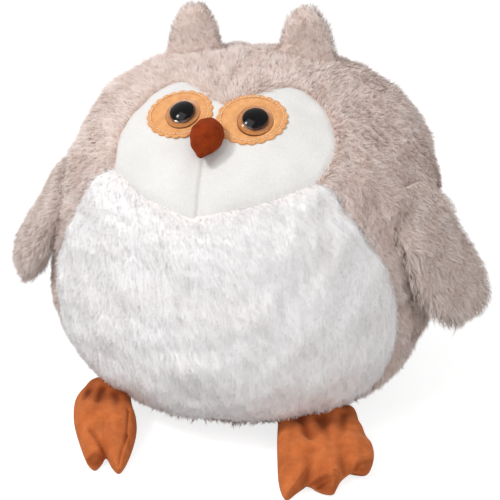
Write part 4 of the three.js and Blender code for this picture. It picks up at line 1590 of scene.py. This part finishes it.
@dataclass
class Feet:
    """Two velour paws gathered into the seam above the base."""

    form: BodyForm
    finishes: Finishes
    side_angle: float = 40
    base_angle: float = -56
    seam_out: float = 3
    top: float = 12
    sole: float = 8
    toe_height: float = 3
    neck: float = 0.62
    neck_length: float = 0.45
    middle_at: float = 0.45
    pillow: float = 2.4
    rings: int = 34
    ground_gap: float = 0.15
    nap: float = 0.86
    fold_light: float = 0.18
    ankle_dark: float = 0.34
    ankle_levels: tuple = (26, 4)
    rim_dark: float = 0.12
    shapes: dict = by_side(LEFT_FOOT, RIGHT_FOOT)

    def axes(self, shape: FootShape) -> tuple:
        """The ankle's place, and the paw's own axes: aside, ahead and out of its top.

        Args:
            shape: how the foot lies.

        Returns:
            The place, and three unit vectors.
        """
        origin, x, _, z = self.form.axes(math.radians(self.side_angle), math.radians(self.base_angle))
        origin = origin + z * self.seam_out
        x, up = unit(x * np.array([1, 1, 0])), np.array([0, 0, 1.0])
        angle = math.pi - math.radians(shape.toe_in)
        x, y = turned_about(x, up, angle), turned_about(np.cross(up, x), up, angle)
        drop = -math.asin((origin[2] - self.toe_height) / shape.length)
        return origin, x, turned_about(y, x, drop), turned_about(up, x, drop)

    def quilt(self, shape: FootShape) -> tuple:
        """The paw's skin from the middle of the sole over the edge to the middle of the top.

        Args:
            shape: how the foot lies.

        Returns:
            The skin, and its tone at each of its points: painted light on raised folds, painted shade in sunk
            folds, at the rim and under the belly by the ankle.
        """
        line = curve_through(shape.outline, 8, True)
        origin, x, y, z = self.axes(shape)
        middle = np.array([0, shape.length * self.middle_at])
        rings, tones = [], []
        for share in np.concatenate([np.sin(np.linspace(0.06, math.pi / 2, self.rings)),
                                     np.sin(np.linspace(math.pi / 2, 0.0005, self.rings))[1:]]):
            flat = middle + (line - middle) * share
            swell = max(1 - share ** self.pillow, 0) ** (1 / self.pillow)
            ahead = np.clip(flat[:, 1] / (shape.length * self.neck_length), 0, 1)
            neck = self.neck + (1 - self.neck) * ahead
            folds = self.folds(flat, shape) * min(1, 2.5 * swell)
            if len(rings) < self.rings:
                height = -swell * neck * self.sole
            else:
                height = swell * neck * self.top + folds
            # Painted shadow near the ankle under the belly, painted light and shade on the folds, painted
            # shade at the rim
            shaded = self.ankle_dark * smooth(*self.ankle_levels, flat[:, 1])
            lit = self.nap + self.fold_light * np.minimum(folds, 0.5)
            tones.append(lit - shaded - self.rim_dark * (swell < 0.3))
            rings.append(origin + np.outer(flat[:, 0], x) + np.outer(flat[:, 1], y) + np.outer(height, z))
        points = np.array(rings)
        points[..., 2] = np.maximum(points[..., 2], self.ground_gap)
        return Quilt(points), np.clip(np.array(tones), 0.1, 1)

    @staticmethod
    def along(flat: Array, ends: Sequence[float]) -> tuple:
        """A line's start and run from its two ends, and the share along it at which places lie."""
        start, run = np.array(ends[:2]), np.array([ends[2] - ends[0], ends[3] - ends[1]])
        return start, run, ((flat - start) @ run) / (run @ run)

    def folds(self, flat: Array, shape: FootShape) -> Array:
        """Height of grooves, turned edges and soft dents on the top.

        Args:
            flat: places aside and ahead of the ankle, in mm.
            shape: how the foot lies.

        Returns:
            One height in mm for each place.
        """
        total = np.zeros(len(flat))
        for *ends, depth, width in shape.grooves:
            start, run, share = self.along(flat, ends)
            share = np.clip(share, 0, 1)
            gap = np.linalg.norm(flat - start - share[:, None] * run, axis=1)
            total -= depth * (1 - 0.5 * share) * bell(gap, width)
        for *ends, drop in shape.turned_edges:
            start, run, share = self.along(flat, ends)
            ahead = np.array([-run[1], run[0]]) / np.linalg.norm(run)
            past = (flat - start) @ (ahead * np.sign(ahead[1]))
            total -= drop * smooth(-0.2, 0.9, past) * smooth(-0.15, 0.02, share) * smooth(1.15, 0.98, share)
        spot = np.column_stack([flat, np.zeros(len(flat))])
        long_dents = ripple(spot * np.array([1, 0.45, 1]), 11, shape.seed + 1)
        return total + ripple(spot, 22, shape.seed) * 0.8 + long_dents * 0.45

    def sew(self) -> None:
        """Builds both feet and shows them."""
        for side in Side:
            quilt, tone = self.quilt(self.shapes[side])
            rows = np.repeat(np.arange(len(quilt.points) - 1), quilt.points.shape[1])
            for part, fillings in (("top", [f"foot_filling_{side.word}"]), ("sole", [])):
                cloth = Cloth()
                cloth.add_grid(quilt, (rows < self.rings - 1) == (part == "sole"), tone)
                cloth.flip(side)
                show(f"foot_{part}_velour_{side.word}", cloth,
                     Look(f"foot_{side.word}", "foot_velour", (f"foot_{part}_{side.word}", *fillings),
                          self.finishes.foot, 0.5))


# The beak and the eyes


@dataclass
class Beak:
    """A stuffed velour drop on the face."""

    form: BodyForm
    face: Face
    finishes: Finishes
    angle: float = 46.5
    aside: float = -4
    above: float = 11
    below: float = 21
    middle_out: float = 4.5
    tip_out: float = 11
    half_width: float = 10.9
    half_thickness: float = 9.5
    fullness: float = 2.15
    unevenness: float = 0.35
    shares: tuple = ((0, 0.03, 0.03), (0.012, 0.28, 0.28), (0.05, 0.53, 0.53), (0.13, 0.78, 0.78),
                     (0.25, 0.96, 0.96), (0.4, 1.03, 1.02), (0.55, 0.98, 0.96), (0.69, 0.82, 0.78),
                     (0.81, 0.6, 0.56), (0.91, 0.36, 0.33), (0.97, 0.18, 0.16), (0.995, 0.05, 0.05))
    columns: int = 48

    def sew(self) -> None:
        """Builds the beak and shows it."""
        origin, x, y, z = self.form.axes(0.0, math.radians(self.angle), self.face.cad_depth)
        top = origin + x * self.aside + y * self.above + z * self.middle_out
        tip = origin + x * self.aside - y * self.below + z * self.tip_out
        angle = np.linspace(0, TURN, self.columns, endpoint=False)
        seam = 1 - 0.07 * bell(np.mod(angle, math.pi), 0.12)
        rings = []
        for share, wide, thick in curve_through(self.shares, 8):
            half = (self.half_width * wide * seam, self.half_thickness * thick)
            rings.append(oval(top + (tip - top) * share, (x, z), half, self.fullness, self.columns))
        points = np.array(rings)[:, ::-1]
        points += (self.unevenness * ripple(points, 9, 71))[..., None] * Quilt(points).normals
        cloth = Cloth()
        cloth.add_grid(Quilt(points))
        show("beak_velour", cloth,
             Look("body", "beak_velour", ("beak_cover", "beak_filling"), self.finishes.beak, 0.9))


@dataclass
class Eyes:
    """Suede patches with safety eyes: iris disc, black pupil, clear dome."""

    form: BodyForm
    face: Face
    finishes: Finishes
    side_angle: float = 15
    rise_angle: float = 53.4
    half_width: float = 24.5
    half_height: float = 21.5
    scallop: float = 1.5
    scallops: int = 22
    raised: float = 1.7
    patch_shift: float = -4.0
    patch_gap: float = 0.6
    stitch_count: int = 46
    stitch_at: float = 0.86
    stitch_half: float = 0.38
    stitch_groove: float = 0.8
    stitch_thickness: tuple = (0.05, 0.34, 0.4, 0.34, 0.05)
    disc_radius: float = 12.4
    disc_thickness: float = 1.4
    disc_out: float = 0.2
    pupil_radius: float = 8.5
    pupil_proud: float = 1.0
    dome_height: float = 4.0
    stem_length: float = 15
    stem_radius: float = 3
    round_count: int = 72
    eye_shifts: dict = by_side((-1.6, -3.4), (0.0, -1.4))

    def seat(self, aside: float = 0.0, above: float = 0.0) -> tuple:
        """Where the left eye sits, moved by mm aside and above, with its axes.

        Args:
            aside: mm round the body.
            above: mm up it.

        Returns:
            The place, and unit vectors round the body, up it and out of it.
        """
        origin, x, y, z = self.form.axes(math.radians(self.side_angle), math.radians(self.rise_angle),
                                         self.face.cad_depth)
        return origin + x * aside + y * above, x, y, z

    def slopes(self, turn: Array, rise: Array) -> tuple:
        """Places on the plain face, and how they change with turn and rise.

        Args:
            turn: radians round from the front.
            rise: radians up from the middle.

        Returns:
            Places in mm, and what a radian of turn and of rise adds to them.
        """
        step = 1e-3
        at = lambda t, r: self.form.point(t, r, self.face.cad_depth(t, r))
        here = at(turn, rise)
        return here, (at(turn + step, rise) - here) / step, (at(turn, rise + step) - here) / step

    def on_face(self, side: Side, angle: Array, share: Union[float, Array],
                high: Union[float, Array]) -> Array:
        """Points on the face under the patch's flat oval, lifted off it.

        Args:
            side: the owl's side that the patch is for.
            angle: radians round the oval.
            share: shares of the oval's half measures.
            high: how far they are lifted, in mm.

        Returns:
            The points, as on the left side.
        """
        origin, x, y, _ = self.seat(self.patch_shift * side.value)
        flat = (origin + np.outer(self.half_width * share * np.cos(angle), x)
                + np.outer(self.half_height * share * np.sin(angle), y))
        turn = np.full(len(flat), math.radians(self.side_angle))
        rise = np.full(len(flat), math.radians(self.rise_angle))
        for _ in range(6):
            here, by_turn, by_rise = self.slopes(turn, rise)
            miss_x, miss_y = (flat - here) @ x, (flat - here) @ y
            a, b, c, d = by_turn @ x, by_rise @ x, by_turn @ y, by_rise @ y
            spread = a * d - b * c
            turn = turn + (miss_x * d - b * miss_y) / spread
            rise = rise + (a * miss_y - c * miss_x) / spread
        here, by_turn, by_rise = self.slopes(turn, rise)
        return here + unit(np.cross(by_turn, by_rise)) * np.broadcast_to(high, len(flat))[:, None]

    def patch(self, side: Side) -> None:
        """Builds one scalloped patch and shows it.

        Args:
            side: the owl's side that it is for.
        """
        angle = np.linspace(0, TURN, self.scallops * 10, endpoint=False)
        uneven = 0.35 * np.sin(angle * 3 + side.value) + 0.3 * np.sin(angle * 5 + 1.3)
        lobe = np.abs(np.sin(angle * self.scallops / 2 + uneven)) ** 0.7
        edge = 1 - self.scallop * (1 - lobe) / self.half_height
        inner = np.linspace(0.1, self.stitch_at, 14)
        reach = np.array([0.03, *inner, 0.9, 0.94, 0.965, 0.985, 1.0, 1.0, 0.97])
        lift = self.raised + np.array([0.0] * 16 + [-0.02, -0.1, -0.3, -0.75, -1.3, -1.7])
        lift = lift - self.stitch_groove * bell(reach - self.stitch_at, 0.035)
        rings = []
        for share, high in zip(reach, lift):
            size = 1 + (edge - 1) * smooth(0.6, 1.0, share)
            rings.append(self.on_face(side, angle, share * size, high))
        points = np.array(rings)[::-1]
        points[..., 0] = np.maximum(points[..., 0], self.patch_gap + self.patch_shift * side.value)
        cloth = Cloth()
        cloth.add_grid(Quilt(points))
        cloth.flip(side)
        show(f"eye_patch_suede_{side.word}", cloth,
             Look("body", "suede", (f"eye_patch_{side.word}",), self.finishes.suede))

    def stitches(self, side: Side) -> None:
        """Builds the row of stitches inside the patch's edge and shows it.

        Args:
            side: the owl's side that it is for.
        """
        z = self.seat()[3]
        count = len(self.stitch_thickness)
        thick = np.array(self.stitch_thickness)[:, None, None]
        spread = np.linspace(-self.stitch_half, self.stitch_half, count) / self.stitch_count * TURN
        high = self.raised - 0.1 + 0.3 * np.cos(np.linspace(-1.5, 1.5, count))
        round_angle = np.linspace(0, TURN, 7, endpoint=False)[None, :, None]
        cloth = Cloth()
        for i in range(self.stitch_count):
            middle = self.on_face(side, TURN * i / self.stitch_count + spread, self.stitch_at, high)
            if middle[:, 0].min() < self.patch_gap + 0.2 + self.patch_shift * side.value:
                continue
            aside = unit(np.cross(unit(np.gradient(middle, axis=0)), z))
            cloth.add_grid(Quilt(middle[:, None] + thick * (aside[:, None] * np.cos(round_angle)
                                                            + z * np.sin(round_angle))))
        cloth.flip(side)
        show(f"eye_stitches_{side.word}", cloth, Look("body", "suede", (), self.finishes.thread))

    def turned(self, profile: Sequence, side: Side) -> Cloth:
        """A turned piece on the eye's axis.

        Args:
            profile: radius and height pairs in mm, from the back.
            side: the owl's side that it is for.

        Returns:
            The piece's cloth.
        """
        aside, above = self.eye_shifts[side]
        origin, x, y, z = self.seat(aside * side.value, above)
        rings = [oval(origin + z * (self.disc_out + height), (x, y), (radius, radius), 2, self.round_count)
                 for radius, height in profile]
        cloth = Cloth()
        cloth.add_grid(Quilt(np.array(rings)))
        cloth.flip(side)
        return cloth

    def profiles(self) -> tuple:
        """Radius and height pairs of the base with its stem, the pupil and the lens.

        Returns:
            Three lists of pairs in mm, from the back.
        """
        axis, radius, thickness = 1e-3, self.disc_radius, self.disc_thickness
        quarter = np.linspace(0, math.pi / 2, 16)
        stem = [(axis, -self.stem_length), (self.stem_radius, -self.stem_length), (self.stem_radius, 0),
                (radius - 0.3, 0), (radius, 0.3), (radius, thickness - 0.2), (radius - 0.2, thickness),
                (axis, thickness)]
        top = thickness + 0.3
        pupil = [(axis, top)]
        for across in self.pupil_radius * np.cos(quarter):
            over = self.dome_height * math.sqrt(1 - (across / radius) ** 2)
            proud = self.pupil_proud * (1 - (across / self.pupil_radius) ** 2) + 0.08
            pupil.append((across + axis, top + over + proud))
        under = thickness - 0.05
        lens = [(axis, under), (radius - 0.25, under), (radius - 0.1, under + 0.05), (radius, under + 0.2)]
        lens += [(radius * math.cos(a) + axis, top + self.dome_height * math.sin(a)) for a in quarter]
        return stem, pupil, lens

    def sew(self) -> None:
        """Builds both eyes and shows them, and dresses their washers."""
        stem, pupil, lens = self.profiles()
        for side in Side:
            self.patch(side)
            self.stitches(side)
            aside, above = self.eye_shifts[side]
            middle = self.seat(aside * side.value, above)[0] * np.array([side.value, 1, 1])
            iris = IrisFinish(f"iris_{side.word}", "#a2652c", "#5a3015", tuple(middle.tolist())).make()
            for part, slot, profile, material in (("base", "iris_plastic", stem, iris),
                                                  ("pupil", "pupil_plastic", pupil, self.finishes.pupil),
                                                  ("lens", "lens_plastic", lens, self.finishes.lens)):
                show(f"eye_{part}_plastic_{side.word}", self.turned(profile, side),
                     Look("body", slot, (f"eye_{part}_{side.word}",), material))
            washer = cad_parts[f"eye_washer_{side.word}"]
            washer.data.materials.clear()
            washer.data.materials.append(self.finishes.nylon)


# The studio


@dataclass(frozen=True)
class Lamp:
    """A soft square lamp: its place and size in metres, and its power in watts."""

    name: str
    place: tuple
    size: float
    power: float
    aim: tuple = (0, 0, 0.12)

    def hang(self) -> None:
        """Hangs the lamp, aimed at the owl."""
        lamp = bpy.data.lights.new(self.name, "AREA")
        lamp.size = self.size
        lamp.energy = self.power
        holder = bpy.data.objects.new(self.name, lamp)
        holder.location = self.place
        holder.rotation_euler = (Vector(self.aim) - Vector(self.place)).to_track_quat("-Z", "Y").to_euler()
        bpy.context.scene.collection.objects.link(holder)


@dataclass
class Studio:
    """Camera, soft light and pale floor."""

    form: BodyForm
    azimuth: float = 14
    elevation: float = 20
    distance: float = 750
    lens: float = 69.5
    sensor: float = 36
    shift: tuple = (0.008, -0.064)
    sky_light: float = 0.44
    floor_glow: float = 0.78
    floor_reach: float = 6.0
    lamps: tuple = (
        Lamp("key", (-0.65, -1.1, 1.65), 1.1, 10.5),
        Lamp("glint", (-0.95, -0.78, 1.4), 0.27, 11.0),
        Lamp("fill", (1.2, -1.2, 0.8), 1.6, 9.5),
    )

    def world(self) -> None:
        """Lights the scene softly from all round, and shows white behind it."""
        world = bpy.data.worlds.new("studio")
        bpy.context.scene.world = world
        world.use_nodes = True
        sky = Dye.of_tree(world.node_tree)
        around = world.node_tree.nodes["Background"]
        sky.feed(around.inputs["Color"], "#ffffff")
        sky.feed(around.inputs["Strength"], self.sky_light)
        white = sky.node("ShaderNodeBackground", None, {"Color": "#ffffff", "Strength": 1.0})
        sky.either(sky.seen_directly(), Sock(sky, around.outputs[0]), white, "World Output")

    def floor(self) -> None:
        """Lays the white floor, which keeps the owl's shadow."""
        far = self.floor_reach
        corners = [(-far, -far, 0), (far, -far, 0), (far, far, 0), (-far, far, 0)]
        mesh = bpy.data.meshes.new("studio_floor")
        mesh.from_pydata(corners, [], [(0, 1, 2, 3)])
        floor = bpy.data.objects.new("studio_floor", mesh)
        bpy.context.scene.collection.objects.link(floor)
        dye = Dye("floor_white")
        dye.set(Base_Color="#bcbcbc", Roughness=1.0, Specular_IOR_Level=0.0)
        surface = Sock(dye, dye.surface.outputs[0])
        glow = dye.node("ShaderNodeEmission", None, {"Color": "#ffffff", "Strength": self.floor_glow})
        lifted = dye.node("ShaderNodeAddShader", None, {0: surface, 1: glow})
        dye.either(dye.seen_directly(), surface, lifted, "Material Output")
        mesh.materials.append(dye.material)

    def camera(self) -> None:
        """Sets the camera at the photograph's angle."""
        az, el = math.radians(self.azimuth), math.radians(self.elevation)
        back = np.array([math.sin(az) * math.cos(el), -math.cos(az) * math.cos(el), math.sin(el)])
        camera = bpy.data.cameras.new("camera")
        camera.sensor_width = self.sensor
        camera.lens = self.lens
        camera.shift_x, camera.shift_y = self.shift
        holder = bpy.data.objects.new("camera", camera)
        holder.location = (self.form.centre + back * self.distance) * MM
        holder.rotation_euler = Vector(-back).to_track_quat("-Z", "Y").to_euler()
        bpy.context.scene.collection.objects.link(holder)
        bpy.context.scene.camera = holder

    def set_up(self) -> None:
        """Builds the whole studio."""
        self.world()
        self.floor()
        self.camera()
        for lamp in self.lamps:
            lamp.hang()
        bpy.context.scene.view_settings.view_transform = "Standard"


def plain(bounds: Sequence) -> list:
    """Bounds as plain lists of numbers."""
    return [[float(v) for v in corner] for corner in bounds]


def main() -> None:
    """Builds the owl and its studio."""
    logging.basicConfig(level=logging.INFO, format="%(message)s")
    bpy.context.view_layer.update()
    form, seams, finishes = BodyForm(), Seams(), Finishes()
    Trunk(form, seams, finishes).sew()
    face = Face(form, seams, finishes)
    face.sew()
    Eyes(form, face, finishes).sew()
    Beak(form, face, finishes).sew()
    Wings(form, finishes).sew()
    Ears(form, finishes).sew()
    Feet(form, finishes).sew()
    Studio(form).set_up()


if __name__ == "__main__":
    main()
